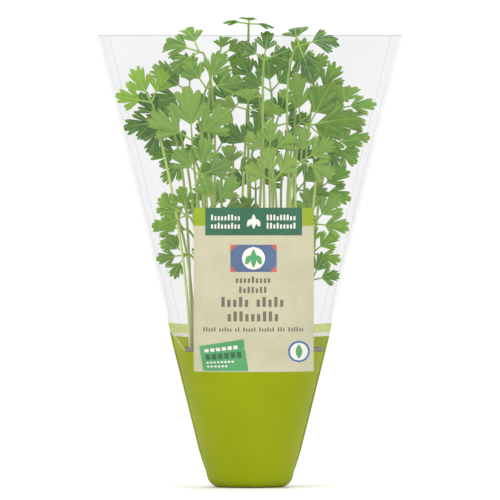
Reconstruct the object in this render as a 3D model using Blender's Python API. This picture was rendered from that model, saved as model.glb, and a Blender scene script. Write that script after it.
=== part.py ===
"""Living flat-leaf parsley as it is sold: a tapered nursery pot of compost, the
parsley that grows in it, and the tapered film sleeve that the pot stands in.

Axes: X across the front, Y from the front to the back, Z up. The origin is on the
surface that the pack stands on, at the middle of its foot. Sizes are in metres.
"""
import math
from dataclasses import dataclass, replace

import bmesh
import bpy
import numpy as np
from mathutils.bvhtree import BVHTree

MM = 0.001

# The gap that neighbouring pieces keep.
CLEARANCE = 0.35 * MM

# The film sleeve. Its mouth is pressed nearly flat, front to back.
SLEEVE_HEIGHT = 321.0 * MM
MOUTH_WIDTH = 216.6 * MM
MOUTH_DEPTH = 32.0 * MM
FILM = 0.35 * MM
FOOT_RADIUS = 7.0 * MM
# How slowly the round sleeve over the pot flattens on its way up to the mouth.
FLATTENING = 1.45
SLEEVE_SIDES = 40
SLEEVE_ROWS = 8

# The nursery pot.
POT_HEIGHT = 98.5 * MM
POT_RIM_DIAMETER = 105.2 * MM
POT_BASE_DIAMETER = 56.2 * MM
POT_WALL = 1.0 * MM
POT_FLOOR = 1.2 * MM
LIP_WALL = 1.2 * MM
LIP_DEPTH = 11.0 * MM
LIP_OVERHANG = 2.2 * MM
DRAIN_COUNT = 6
DRAIN_DIAMETER = 7.0 * MM
DRAIN_CIRCLE = 34.0 * MM
POT_SIDES = 40

# The compost.
COMPOST_BELOW_RIM = 3.5 * MM
COMPOST_CROWN = 2.0 * MM
COMPOST_RINGS = (1.0, 0.66, 0.33)

# The parsley: a frond is one grown stalk with its three leaflets.
STALK_WIDTH = 2.1 * MM
STALK_THICKNESS = 1.7 * MM
STALKLET_WIDTH = 1.5 * MM
LEAF_THICKNESS = 0.8 * MM
LEAF_NODE = 3.0 * MM
STALK_ROWS = 7
# The curve of a stalk: how much of its way across it makes low down, how high it bows, and how
# long it runs in line with the leaf, and upwards, before it enters it.
STALK_DRIFT = 0.12
STALK_BELLY = 0.5
STALK_NECK = 0.16
STALK_NECK_LIMIT = 14.0 * MM
STALK_CLIMB = 0.12
ROOT_REACH = 45.0 * MM
ROOT_PULL = 40.0 * MM
ROOT_RIM_GAP = 4.0 * MM
# How near to the film the frontmost and rearmost leaves are wanted, and the least share of the
# sleeve's depth that a leaf past its sides counts on.
LAYER_REACH = 0.8
LEAST_ROOM = 0.02
SIDE_LEAFLET = 0.90
STALKLET_SHARE = 0.28
# How far a leaf and a root may be moved, from where they are wanted, to clear their neighbours.
LEAF_STEP = 1.5 * MM
LEAF_STEPS_DEEP = 26
LEAF_STEPS_ACROSS = 14
LEAF_STEPS_UP = 10
SIDEWAYS_COST = 4
ROOT_STEP = 6.0 * MM
ROOT_STEPS = 5
ROOT_PULLS = (1.0, 0.8)
PULL_COST = 9
BOW_STEP = 8.0 * MM
BOW_STEPS = 3
# How far under the sleeve's mouth a frond counts as one at the mouth, and how much deeper than
# the mouth a frond may spread above it.
MOUTH_BAND = 20.0 * MM
MOUTH_SPILL = 1.5
# The sleeve that the table of fronds is given for. Places keep their share of the width of the
# real mouth, tilts keep their share of its depth, and heights keep their share of the way from
# the pot's rim to the mouth.
TABLE_MOUTH_WIDTH = 216.6 * MM
TABLE_MOUTH_DEPTH = 32.0 * MM
TABLE_RIM_HEIGHT = 99.2 * MM
TABLE_SLEEVE_HEIGHT = 321.0 * MM
# The outline of a leaflet: share of its length, and half width over its length.
LEAFLET_OUTLINE = ((0.00, 0.04), (0.26, 0.22), (0.54, 0.47), (0.66, 0.30), (0.84, 0.31), (1.00, 0.06))


@dataclass(frozen=True)
class Frond:
    """Where one frond goes and how its leaf is turned.

    x, z: the leaf's node in mm, z from the surface that the pack stands on.
    layer: wanted place from front (-1) to back (1).
    aim: the leaf's direction in degrees, 0 up and 90 towards +X.
    lean: degrees that the leaf tips forward.  roll: degrees that it turns on its rib.
    size: length of the middle leaflet in mm.  spread: degrees to the side leaflets.
    arch: degrees that a leaflet bends down over its length.
    """

    x: float
    z: float
    layer: float
    aim: float
    lean: float = 0.0
    roll: float = 0.0
    size: float = 20.0
    spread: float = 55.0
    arch: float = 25.0


FRONDS = (
    # The bright leaf at the front of the middle, and the one under it.
    Frond(-8, 265, -0.7, 6, 46, 0, 21, 76, 30),
    Frond(-14, 222, -0.6, -4, 30, 0, 19, 64, 25),
    # Above the film and just under its edge.
    Frond(-1, 329, 0.0, 5, 72, 0, 14, 82, 25),
    Frond(-36, 309, 0.1, -72, 0, 30, 21, 52, 50),
    Frond(35, 313, 0.0, 72, 0, -42, 22, 88, 50),
    Frond(10, 303, -0.4, 8, -16, 0, 16, 58, 30),
    Frond(-22, 306, -0.3, 60, 6, 40, 17, 50, 30),
    # The upper left.
    Frond(-70, 270, -0.3, -28, 0, 0, 20, 51, 14),
    Frond(-62, 260, 0.3, -100, 0, 0, 20, 58, 14),
    Frond(-43, 279, 0.6, -50, 4, 12, 24, 52, 18),
    Frond(-31, 283, -0.6, 22, 8, 8, 21, 56, 22),
    Frond(-41, 246, -0.8, -4, 8, -6, 29, 54, 16),
    Frond(-52, 254, 0.7, -40, -6, 0, 22, 55, 18),
    # The upper right.
    Frond(15, 281, -0.8, -8, 6, 0, 18, 50, 25),
    Frond(33, 288, 0.2, 6, 6, 14, 21, 52, 20),
    Frond(47, 278, 0.5, 36, 4, 8, 20, 51, 20),
    Frond(54, 284, 0.1, 80, 0, 40, 19, 51, 16),
    Frond(36, 259, -0.5, 48, 6, 6, 29, 54, 16),
    Frond(42, 251, -0.2, 80, 4, -8, 25, 53, 16),
    # The middle, under the flattened mouth.
    Frond(4, 285, 0.5, -30, 12, 20, 19, 55, 25),
    Frond(-14, 266, 0.6, -15, 6, 0, 22, 55, 22),
    Frond(18, 256, 0.8, 18, -8, 0, 20, 55, 20),
    Frond(14, 237, -0.9, 2, 8, 0, 17, 52, 20),
    # The right edge.
    Frond(66, 250, 0.0, 98, 0, 6, 13, 48, 10),
    Frond(58, 243, -0.4, 124, 2, 8, 16, 49, 30),
    Frond(36, 231, -0.8, 58, 8, 4, 20, 52, 20),
    Frond(48, 211, 0.3, 54, 2, 6, 19, 50, 12),
    Frond(48, 187, -0.2, 42, 2, 0, 20, 54, 12),
    Frond(47, 166, 0.4, 52, 2, 8, 16, 54, 20),
    Frond(44, 147, -0.3, 24, 2, 8, 15, 54, 20),
    # The left edge.
    Frond(-44, 235, 0.3, -84, 4, 6, 20, 51, 15),
    Frond(-36, 221, -0.8, 12, 6, 0, 20, 56, 20),
    Frond(-45, 193, -0.5, -60, 4, 6, 16, 52, 15),
    Frond(-47, 183, 0.3, -82, 2, 0, 16, 48, 15),
    Frond(-46, 165, -0.3, -98, 2, 6, 14, 52, 20),
    Frond(-54, 197, 0.5, -34, 0, 0, 9, 60, 10),
    # The middle of the clump, from the front to the back.
    Frond(17, 217, -0.95, -12, 8, 0, 18, 50, 15),
    Frond(34, 211, 0.0, 40, 16, 0, 18, 56, 20),
    Frond(-26, 201, -0.9, 38, 8, 0, 20, 54, 15),
    Frond(2, 239, 0.3, 14, 10, 0, 20, 58, 20),
    Frond(-24, 237, 0.6, -28, -10, 0, 19, 56, 20),
    Frond(24, 231, 0.7, 14, -10, 0, 18, 55, 15),
    Frond(4, 211, 0.9, 0, -12, 0, 18, 56, 15),
    Frond(-30, 196, 0.9, -20, -10, 0, 14, 54, 15),
    Frond(30, 184, 0.9, 10, -10, 0, 14, 54, 15),
    Frond(-4, 186, -0.5, 6, 24, 0, 18, 62, 25),
    Frond(20, 172, -0.8, 30, 18, 0, 15, 58, 20),
    Frond(-22, 166, 0.7, -24, -14, 0, 15, 58, 15),
)


def clear_scene():
    """Removes every object of the open scene."""
    for item in list(bpy.data.objects):
        bpy.data.objects.remove(item)


def make_material(name, colour, roughness, metallic=0.0):
    """A plain Principled material of one colour."""
    material = bpy.data.materials.new(name)
    material.use_nodes = True
    shader = material.node_tree.nodes["Principled BSDF"]
    shader.inputs["Base Color"].default_value = (*colour, 1.0)
    shader.inputs["Roughness"].default_value = roughness
    shader.inputs["Metallic"].default_value = metallic
    return material


def add_object(name, points, faces, material):
    """A smooth-shaded mesh object with its faces turned outwards."""
    mesh = bpy.data.meshes.new(name)
    mesh.from_pydata([tuple(point) for point in points], [], faces)
    shape = bmesh.new()
    shape.from_mesh(mesh)
    bmesh.ops.recalc_face_normals(shape, faces=shape.faces)
    shape.to_mesh(mesh)
    shape.free()
    mesh.shade_smooth()
    mesh.set_sharp_from_angle(angle=math.radians(40))
    mesh.materials.append(material)
    item = bpy.data.objects.new(name, mesh)
    bpy.context.collection.objects.link(item)
    return item


def ring_faces(first, second, sides):
    """Quads between two closed rings of points, given the index that each starts at."""
    return [
        (first + i, first + (i + 1) % sides, second + (i + 1) % sides, second + i)
        for i in range(sides)
    ]


# The pot and its envelope.

POT_BOTTOM = FILM + CLEARANCE
RIM_HEIGHT = POT_BOTTOM + POT_HEIGHT
LIP_LOW = RIM_HEIGHT - LIP_DEPTH
COMPOST_EDGE_HEIGHT = RIM_HEIGHT - COMPOST_BELOW_RIM


def pot_envelope(height):
    """Radius of the straight line from the pot's foot to its rim, at a height."""
    share = (height - POT_BOTTOM) / POT_HEIGHT
    return (POT_BASE_DIAMETER + (POT_RIM_DIAMETER - POT_BASE_DIAMETER) * share) / 2


def pot_body_radius(height):
    """Outer radius of the pot under its lip, at a height."""
    share = (height - POT_BOTTOM) / POT_HEIGHT
    return pot_envelope(height) - LIP_OVERHANG * share


def lip_bore(height):
    """Inner radius of the pot's lip, at a height."""
    low = LIP_LOW + 2 * POT_WALL
    high = RIM_HEIGHT - POT_WALL / 2
    share = (height - low) / (high - low)
    return pot_envelope(LIP_LOW) + (pot_envelope(RIM_HEIGHT) - pot_envelope(LIP_LOW)) * share - LIP_WALL


def turned(name, profile, sides, material):
    """A solid turned about Z from (radius, height) points that start and end on the axis."""
    angles = [2 * math.pi * i / sides for i in range(sides)]
    points = [(0.0, 0.0, profile[0][1])]
    for radius, height in profile[1:-1]:
        points += [(radius * math.cos(a), radius * math.sin(a), height) for a in angles]
    points.append((0.0, 0.0, profile[-1][1]))
    rings = [1 + sides * i for i in range(len(profile) - 2)]
    faces = [(0, rings[0] + (i + 1) % sides, rings[0] + i) for i in range(sides)]
    for first, second in zip(rings, rings[1:]):
        faces += ring_faces(first, second, sides)
    last = len(points) - 1
    faces += [(rings[-1] + i, rings[-1] + (i + 1) % sides, last) for i in range(sides)]
    return add_object(name, points, faces, material)


def build_pot():
    """The tapered pot: a rounded foot, a stepped lip and drain holes through its floor."""
    foot = FOOT_RADIUS - FILM
    profile = [(0.0, POT_BOTTOM)]
    for degrees in (0, 30, 60, 90):
        angle = math.radians(degrees)
        height = POT_BOTTOM + foot * (1 - math.cos(angle))
        profile.append((pot_body_radius(height) - foot * (1 - math.sin(angle)), height))
    profile += [
        (pot_body_radius(LIP_LOW), LIP_LOW),
        (pot_envelope(LIP_LOW), LIP_LOW + POT_WALL),
        (pot_envelope(RIM_HEIGHT), RIM_HEIGHT - POT_WALL / 2),
        (pot_envelope(RIM_HEIGHT) - LIP_WALL / 2, RIM_HEIGHT),
        (lip_bore(RIM_HEIGHT - POT_WALL / 2), RIM_HEIGHT - POT_WALL / 2),
        (lip_bore(LIP_LOW + 2 * POT_WALL), LIP_LOW + 2 * POT_WALL),
        (pot_body_radius(LIP_LOW) - POT_WALL, LIP_LOW + POT_WALL),
        (pot_body_radius(POT_BOTTOM + foot) - POT_WALL, POT_BOTTOM + foot),
        (pot_body_radius(POT_BOTTOM) - foot, POT_BOTTOM + POT_FLOOR),
        (0.0, POT_BOTTOM + POT_FLOOR),
    ]
    plastic = make_material("pot_plastic", (0.25, 0.20, 0.16), 0.5)
    pot = turned("pot", profile, POT_SIDES, plastic)
    for i in range(DRAIN_COUNT):
        angle = 2 * math.pi * i / DRAIN_COUNT
        middle = DRAIN_CIRCLE / 2
        bpy.ops.mesh.primitive_cylinder_add(
            vertices=10,
            radius=DRAIN_DIAMETER / 2,
            depth=6 * POT_FLOOR,
            location=(middle * math.cos(angle), middle * math.sin(angle), POT_BOTTOM),
        )
        cutter = bpy.context.object
        cutter.name = f"drain_cutter_{i + 1}"
        cutter.hide_render = True
        cutter.display_type = "WIRE"
        drain = pot.modifiers.new(cutter.name, "BOOLEAN")
        drain.operation = "DIFFERENCE"
        drain.solver = "EXACT"
        drain.object = cutter
    return pot


def compost_height(radius):
    """Height of the compost's crowned top, at a distance from the pot's axis."""
    edge = pot_envelope(COMPOST_EDGE_HEIGHT)
    return COMPOST_EDGE_HEIGHT + COMPOST_CROWN * (1 - (radius / edge) ** 2)


def build_compost():
    """The plug of compost, shaped by the inside of the pot."""
    foot = FOOT_RADIUS - FILM
    inset = POT_WALL + CLEARANCE
    floor = POT_BOTTOM + POT_FLOOR + CLEARANCE
    shoulder = COMPOST_EDGE_HEIGHT - POT_WALL
    edge = lip_bore(shoulder) - CLEARANCE
    profile = [
        (0.0, floor),
        (pot_body_radius(POT_BOTTOM) - foot - inset, floor),
        (pot_body_radius(POT_BOTTOM + foot) - inset, POT_BOTTOM + foot),
        (pot_body_radius(LIP_LOW) - inset, LIP_LOW + POT_WALL),
        (edge, shoulder),
        *((edge * share, compost_height(edge * share)) for share in COMPOST_RINGS),
        (0.0, compost_height(0.0)),
    ]
    soil = make_material("compost_soil", (0.035, 0.022, 0.014), 0.95)
    return turned("compost", profile, POT_SIDES, soil)


# The sleeve.


def sleeve_section(height):
    """Half width and half depth of the sleeve's outside, at a height."""
    slack = FILM + CLEARANCE
    rim = pot_envelope(RIM_HEIGHT) + slack
    if height <= RIM_HEIGHT:
        radius = pot_envelope(height) + slack
        return radius, radius
    share = min((height - RIM_HEIGHT) / (SLEEVE_HEIGHT - RIM_HEIGHT), 1.0)
    half_width = rim + (MOUTH_WIDTH / 2 - rim) * share
    half_depth = MOUTH_DEPTH / 2 + (rim - MOUTH_DEPTH / 2) * (1 - share**FLATTENING)
    return half_width, half_depth


def build_sleeve():
    """The film sleeve: round over the pot, pressed flat at its open mouth."""
    sections = []
    for degrees in (0, 30, 60, 90):
        angle = math.radians(degrees)
        height = FOOT_RADIUS * (1 - math.cos(angle))
        radius = sleeve_section(height)[0] - FOOT_RADIUS * (1 - math.sin(angle))
        sections.append((radius, radius, height))
    upper = np.linspace(RIM_HEIGHT, SLEEVE_HEIGHT, SLEEVE_ROWS)
    sections += [(*sleeve_section(height), height) for height in (RIM_HEIGHT / 2, *upper)]
    angles = [2 * math.pi * i / SLEEVE_SIDES for i in range(SLEEVE_SIDES)]
    points = [(0.0, 0.0, 0.0)]
    for half_width, half_depth, height in sections:
        points += [(half_width * math.cos(a), half_depth * math.sin(a), height) for a in angles]
    rings = [1 + SLEEVE_SIDES * i for i in range(len(sections))]
    faces = [(0, rings[0] + (i + 1) % SLEEVE_SIDES, rings[0] + i) for i in range(SLEEVE_SIDES)]
    for first, second in zip(rings, rings[1:]):
        faces += ring_faces(first, second, SLEEVE_SIDES)
    film = make_material("sleeve_film", (0.33, 0.38, 0.015), 0.25)
    sleeve = add_object("sleeve", points, faces, film)
    wall = sleeve.modifiers.new("film", "SOLIDIFY")
    wall.thickness = FILM
    wall.offset = -1.0
    wall.use_even_offset = True
    return sleeve


# The parsley.


def unit(vector):
    """The vector at length one."""
    return vector / np.linalg.norm(vector)


def turn(vector, axis, angle):
    """The vector turned about a unit axis, by Rodrigues' formula."""
    along = axis * float(vector @ axis) * (1 - math.cos(angle))
    return vector * math.cos(angle) + np.cross(axis, vector) * math.sin(angle) + along


def fitted(frond):
    """The frond as it grows in this sleeve: spread with its width, tilted with its depth, raised
    with its height, and sized with its width or height, whichever leaves less room."""
    wider = MOUTH_WIDTH / TABLE_MOUTH_WIDTH
    deeper = MOUTH_DEPTH / TABLE_MOUTH_DEPTH
    longer = (SLEEVE_HEIGHT - RIM_HEIGHT) / (TABLE_SLEEVE_HEIGHT - TABLE_RIM_HEIGHT)
    return replace(
        frond,
        x=frond.x * wider,
        z=(SLEEVE_HEIGHT - (TABLE_SLEEVE_HEIGHT - frond.z * MM) * longer) / MM,
        size=frond.size * min(wider, longer),
        lean=frond.lean * deeper,
        roll=frond.roll * deeper,
        arch=frond.arch * deeper,
    )


def leaf_frame(frond):
    """The leaf's direction, its side and its upper face's normal."""
    aim, lean, roll = (math.radians(value) for value in (frond.aim, frond.lean, frond.roll))
    side = np.array((math.cos(aim), 0.0, -math.sin(aim)))
    upward = np.array((math.sin(aim), 0.0, math.cos(aim)))
    direction = turn(upward, side, lean)
    side = turn(side, direction, roll)
    return direction, side, np.cross(side, direction)


def stalk_rows(node, root, bow, frame, half_width, half_thickness):
    """Cross-sections up the stalk: a curve that leaves the compost upright and enters the leaf."""
    direction, side, _ = frame
    rise = node[2] - root[2]
    entry = node - direction * LEAF_NODE
    neck = min(STALK_NECK * rise, STALK_NECK_LIMIT)
    guides = (
        root,
        root + np.array((STALK_DRIFT * (node[0] - root[0]), bow, STALK_BELLY * rise)),
        entry - direction * neck - np.array((0.0, -bow / 2, STALK_CLIMB * rise)),
        entry,
    )
    shares = np.linspace(0.0, 1.0, STALK_ROWS)[:, None]
    weights = ((1 - shares) ** 3, 3 * shares * (1 - shares) ** 2, 3 * shares**2 * (1 - shares), shares**3)
    middles = sum(weight * guide for weight, guide in zip(weights, guides))
    tangents = [unit(row) for row in np.gradient(middles, axis=0)]
    tangents[0] = np.array((0.0, 0.0, 1.0))
    tangents[-1] = direction
    across = np.array((1.0, 0.0, 0.0))
    sides = []
    for tangent in tangents:
        across = unit(across - tangent * float(across @ tangent))
        sides.append(across)
    twist = math.atan2(float(np.cross(across, side) @ direction), float(across @ side))
    rows = []
    for index, (middle, tangent) in enumerate(zip(middles, tangents)):
        share = index / (STALK_ROWS - 1)
        turned_side = turn(sides[index], tangent, twist * share**2)
        rows.append((middle, turned_side, np.cross(turned_side, tangent), half_width, half_thickness))
    return rows


def leaflet_rows(frond, node, frame, angle, length, grow):
    """Cross-sections along one leaflet: its stalklet, then the blade, which bends down."""
    direction, side, normal = frame
    droop = 1 if normal[2] >= 0 else -1
    axis = direction * math.cos(angle) + side * math.sin(angle)
    across = side * math.cos(angle) - direction * math.sin(angle)
    start = LEAF_NODE
    stalklet = STALKLET_SHARE * length
    narrow = STALKLET_WIDTH / 2 + grow
    thin = LEAF_THICKNESS / 2 + grow
    rows = [(node + axis * start, across, normal, narrow, thin)]
    bend = droop * math.radians(frond.arch) / length
    for share, half in LEAFLET_OUTLINE:
        run = share * length
        reach = start + stalklet + math.sin(bend * run) / bend
        drop = (1 - math.cos(bend * run)) / bend
        middle = node + axis * reach - normal * drop
        facing = normal * math.cos(bend * run) + axis * math.sin(bend * run)
        rows.append((middle, across, facing, max(half * length, STALKLET_WIDTH / 2) + grow, thin))
    return rows


def root_point(frond, root_y, pull=1.0):
    """Where the stalk leaves the compost, pulled in from the pot's wall."""
    root_x = pull * ROOT_REACH * math.tanh(frond.x * MM / ROOT_PULL)
    reach = math.hypot(root_x, root_y)
    largest = pot_envelope(COMPOST_EDGE_HEIGHT) - ROOT_RIM_GAP
    inward = min(1.0, largest / reach) if reach else 1.0
    ground = compost_height(reach * inward) + CLEARANCE
    return np.array((root_x * inward, root_y * inward, ground))


def frond_solid(frond, node, root, bow, grow=0.0):
    """Points and faces of one frond as a single closed solid, grown all round by a margin."""
    frame = leaf_frame(frond)
    size = frond.size * MM
    spread = math.radians(frond.spread)
    arms = [
        stalk_rows(node, root, bow, frame, STALK_WIDTH / 2 + grow, STALK_THICKNESS / 2 + grow)[::-1],
        leaflet_rows(frond, node, frame, -spread, size * SIDE_LEAFLET, grow),
        leaflet_rows(frond, node, frame, 0.0, size, grow),
        leaflet_rows(frond, node, frame, spread, size * SIDE_LEAFLET, grow),
    ]
    # The stalk meets the node from below, so its own left and right change places there.
    arms[0] = [(middle, -across, normal, wide, thick) for middle, across, normal, wide, thick in arms[0]]
    points = []
    faces = []
    starts = []
    for arm in arms:
        starts.append(len(points))
        for middle, across, normal, wide, thick in arm:
            points += [
                middle - across * wide + normal * thick,
                middle + across * wide + normal * thick,
                middle + across * wide - normal * thick,
                middle - across * wide - normal * thick,
            ]
        for row in range(len(arm) - 1):
            first = starts[-1] + 4 * row
            faces += ring_faces(first, first + 4, 4)
        last = starts[-1] + 4 * (len(arm) - 1)
        faces.append((last, last + 1, last + 2, last + 3))
    faces.append(tuple(index for start in starts for index in (start, start + 1)))
    faces.append(tuple(index for start in starts[::-1] for index in (start + 2, start + 3)))
    for start, following in zip(starts, starts[1:] + starts[:1]):
        faces.append((start + 1, start + 2, following + 3, following))
    return np.array(points), faces


def inside_sleeve(points):
    """Whether every point keeps its clearance to the film, or stands above its mouth in line with it."""
    margin = FILM + 2 * CLEARANCE
    for x, y, z in points:
        half_width, half_depth = sleeve_section(z)
        if z > SLEEVE_HEIGHT:
            half_depth *= MOUTH_SPILL
        if (x / (half_width - margin)) ** 2 + (y / (half_depth - margin)) ** 2 > 1:
            return False
    return True


def touches(points, faces, placed):
    """Whether these faces meet any frond that is already placed."""
    tree = BVHTree.FromPolygons([tuple(point) for point in points], faces)
    return any(tree.overlap(other) for other in placed)


def leaf_moves():
    """Moves of a leaf, the smallest first, where moves front to back count least."""
    deep = range(-LEAF_STEPS_DEEP, LEAF_STEPS_DEEP + 1)
    wide = range(-LEAF_STEPS_ACROSS, LEAF_STEPS_ACROSS + 1, 2)
    high = range(-LEAF_STEPS_UP, LEAF_STEPS_UP + 1, 2)
    moves = [(x, y, z) for x in wide for y in deep for z in high]
    moves.sort(key=lambda move: (SIDEWAYS_COST * (abs(move[0]) + abs(move[2])) + abs(move[1]), move))
    return [np.array(move) * LEAF_STEP for move in moves]


LEAF_MOVES = leaf_moves()


def stalk_choices():
    """Moves of a root, pulls towards the middle and bows of the stalk, the smallest first."""
    steps = range(-ROOT_STEPS, ROOT_STEPS + 1)
    bows = range(-BOW_STEPS, BOW_STEPS + 1)
    choices = [(root, bow, pull) for pull in ROOT_PULLS for root in steps for bow in bows]
    choices.sort(key=lambda choice: (abs(choice[0]) + abs(choice[1]) - PULL_COST * choice[2], choice))
    return [(root * ROOT_STEP, bow * BOW_STEP, pull) for root, bow, pull in choices]


STALK_CHOICES = stalk_choices()


def settle(frond, placed):
    """The frond's solid where it clears the film and its neighbours, nearest to where it is wanted."""
    half_width, half_depth = sleeve_section(frond.z * MM)
    room = half_depth * math.sqrt(max(1 - (frond.x * MM / half_width) ** 2, LEAST_ROOM))
    wanted = np.array((frond.x * MM, LAYER_REACH * frond.layer * room, frond.z * MM))
    wanted_root = LAYER_REACH * frond.layer * pot_envelope(COMPOST_EDGE_HEIGHT)
    stalk_points = 4 * STALK_ROWS
    stalk_faces = stalk_points - 3
    for move in LEAF_MOVES:
        node = wanted + move
        points, faces = frond_solid(frond, node, root_point(frond, wanted_root), 0.0, CLEARANCE)
        if not inside_sleeve(points[stalk_points:]) or touches(points, faces[stalk_faces:], placed):
            continue
        for root_move, bow, pull in STALK_CHOICES:
            root = root_point(frond, wanted_root + root_move, pull)
            points, faces = frond_solid(frond, node, root, bow, CLEARANCE)
            if inside_sleeve(points[:stalk_points]) and not touches(points, faces, placed):
                placed.append(BVHTree.FromPolygons([tuple(point) for point in points], faces))
                return frond_solid(frond, node, root, bow)
    raise ValueError(f"no room for the frond at {frond.x}, {frond.z}")


def settling_order(entry):
    """Fronds at the mouth settle first, and then the others from the lowest up."""
    height = entry[1].z * MM
    return height < SLEEVE_HEIGHT - MOUTH_BAND, height


def build_fronds():
    """Every frond in its own node, each clear of those before it."""
    leaf = make_material("parsley_leaf", (0.10, 0.23, 0.03), 0.45)
    placed = []
    for number, frond in sorted(enumerate(map(fitted, FRONDS), start=1), key=settling_order):
        points, faces = settle(frond, placed)
        add_object(f"frond_{number:02d}", points, faces, leaf)


def main():
    """Builds the pack from the inside out."""
    clear_scene()
    build_pot()
    build_compost()
    build_sleeve()
    build_fronds()


main()
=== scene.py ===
"""Living flat-leaf parsley as it is sold: the looks of the pack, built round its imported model.

The pack is a tapered nursery pot of compost, the parsley that grows in it, and a
tapered film sleeve with a printed foot and a printed label. Lengths are in metres,
and Z is up. Tables of places are in millimetres, as their docstrings say.
"""

import logging
import math
from dataclasses import dataclass
from enum import Enum
from typing import Any

import bpy
import numpy as np
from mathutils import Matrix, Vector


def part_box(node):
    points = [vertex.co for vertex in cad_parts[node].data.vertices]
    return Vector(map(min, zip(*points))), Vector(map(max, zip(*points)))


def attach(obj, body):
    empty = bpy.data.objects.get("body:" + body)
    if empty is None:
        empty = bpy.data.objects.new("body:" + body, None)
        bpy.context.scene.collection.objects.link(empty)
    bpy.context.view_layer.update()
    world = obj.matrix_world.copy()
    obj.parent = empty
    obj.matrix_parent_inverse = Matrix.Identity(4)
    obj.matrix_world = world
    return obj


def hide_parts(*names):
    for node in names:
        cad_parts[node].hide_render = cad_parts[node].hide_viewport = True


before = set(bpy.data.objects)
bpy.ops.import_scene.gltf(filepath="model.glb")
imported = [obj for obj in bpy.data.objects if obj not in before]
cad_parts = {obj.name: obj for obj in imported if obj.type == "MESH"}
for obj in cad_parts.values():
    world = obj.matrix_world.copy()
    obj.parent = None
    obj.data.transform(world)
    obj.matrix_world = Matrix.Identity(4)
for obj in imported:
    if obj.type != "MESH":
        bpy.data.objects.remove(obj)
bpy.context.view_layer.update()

LOG = logging.getLogger("parsley")
MM = 0.001
Array = np.ndarray


# Arrays, meshes and nodes.


def linear(code: str) -> tuple[float, float, float, float]:
    """Turns an sRGB colour to linear light.

    Args:
        code: the colour as six hex digits.

    Returns:
        Red, green, blue and an alpha of one.
    """
    parts = np.array([int(code[i : i + 2], 16) for i in (0, 2, 4)]) / 255
    light = np.where(parts <= 0.04045, parts / 12.92, ((parts + 0.055) / 1.055) ** 2.4)
    return (*(float(part) for part in light), 1.0)


def smooth(share: Array | float) -> Array | float:
    """Eases a share from 0 to 1 with level ends: 3 t squared minus 2 t cubed."""
    held = np.clip(share, 0.0, 1.0)
    return held * held * (3 - 2 * held)


def unit(vectors: Array) -> Array:
    """Scales each vector in the last axis to length one."""
    return vectors / np.maximum(np.linalg.norm(vectors, axis=-1, keepdims=True), 1e-12)


def turn(vectors: Array, axis: Array, angle: float) -> Array:
    """Turns vectors about a unit axis, by Rodrigues' formula.

    Args:
        vectors: the vectors, in the last axis.
        axis: the unit axis.
        angle: the angle in radians.

    Returns:
        The turned vectors.
    """
    along = (vectors @ axis)[..., None] * axis * (1 - math.cos(angle))
    return vectors * math.cos(angle) + np.cross(axis, vectors) * math.sin(angle) + along


def grid_quads(rows: int, columns: int, start: int = 0, closed: bool = False) -> Array:
    """Quads of a grid of points that is stored row by row.

    Args:
        rows: how many rows of points.
        columns: how many points in a row.
        start: the index of the first point.
        closed: whether each row is a ring.

    Returns:
        One row of four indices for each quad.
    """
    index = start + np.arange(rows * columns).reshape(rows, columns)
    after = np.roll(index, -1, axis=1)
    if not closed:
        index, after = index[:, :-1], after[:, :-1]
    corners = (index[:-1], after[:-1], after[1:], index[1:])
    return np.stack(corners, axis=-1).reshape(-1, 4)


def fractal(points: Array, size: float, seed: int, octaves: int = 3) -> Array:
    """Smooth noise made of sine waves in scattered directions, each octave half the size of the last.

    Args:
        points: places, with coordinates in the last axis.
        size: length of the largest wave.
        seed: chooses the waves.
        octaves: how many sizes of wave.

    Returns:
        Values of about -1 to 1, one for each place.
    """
    draw = np.random.default_rng(seed)
    total = np.zeros(points.shape[:-1])
    for octave in range(octaves):
        for _ in range(4):
            wave = unit(draw.normal(size=points.shape[-1])) * 2 * math.pi / size * 2**octave
            total += np.sin(points @ wave + draw.uniform(0, 2 * math.pi)) / 2**octave
    return total / 4


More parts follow.
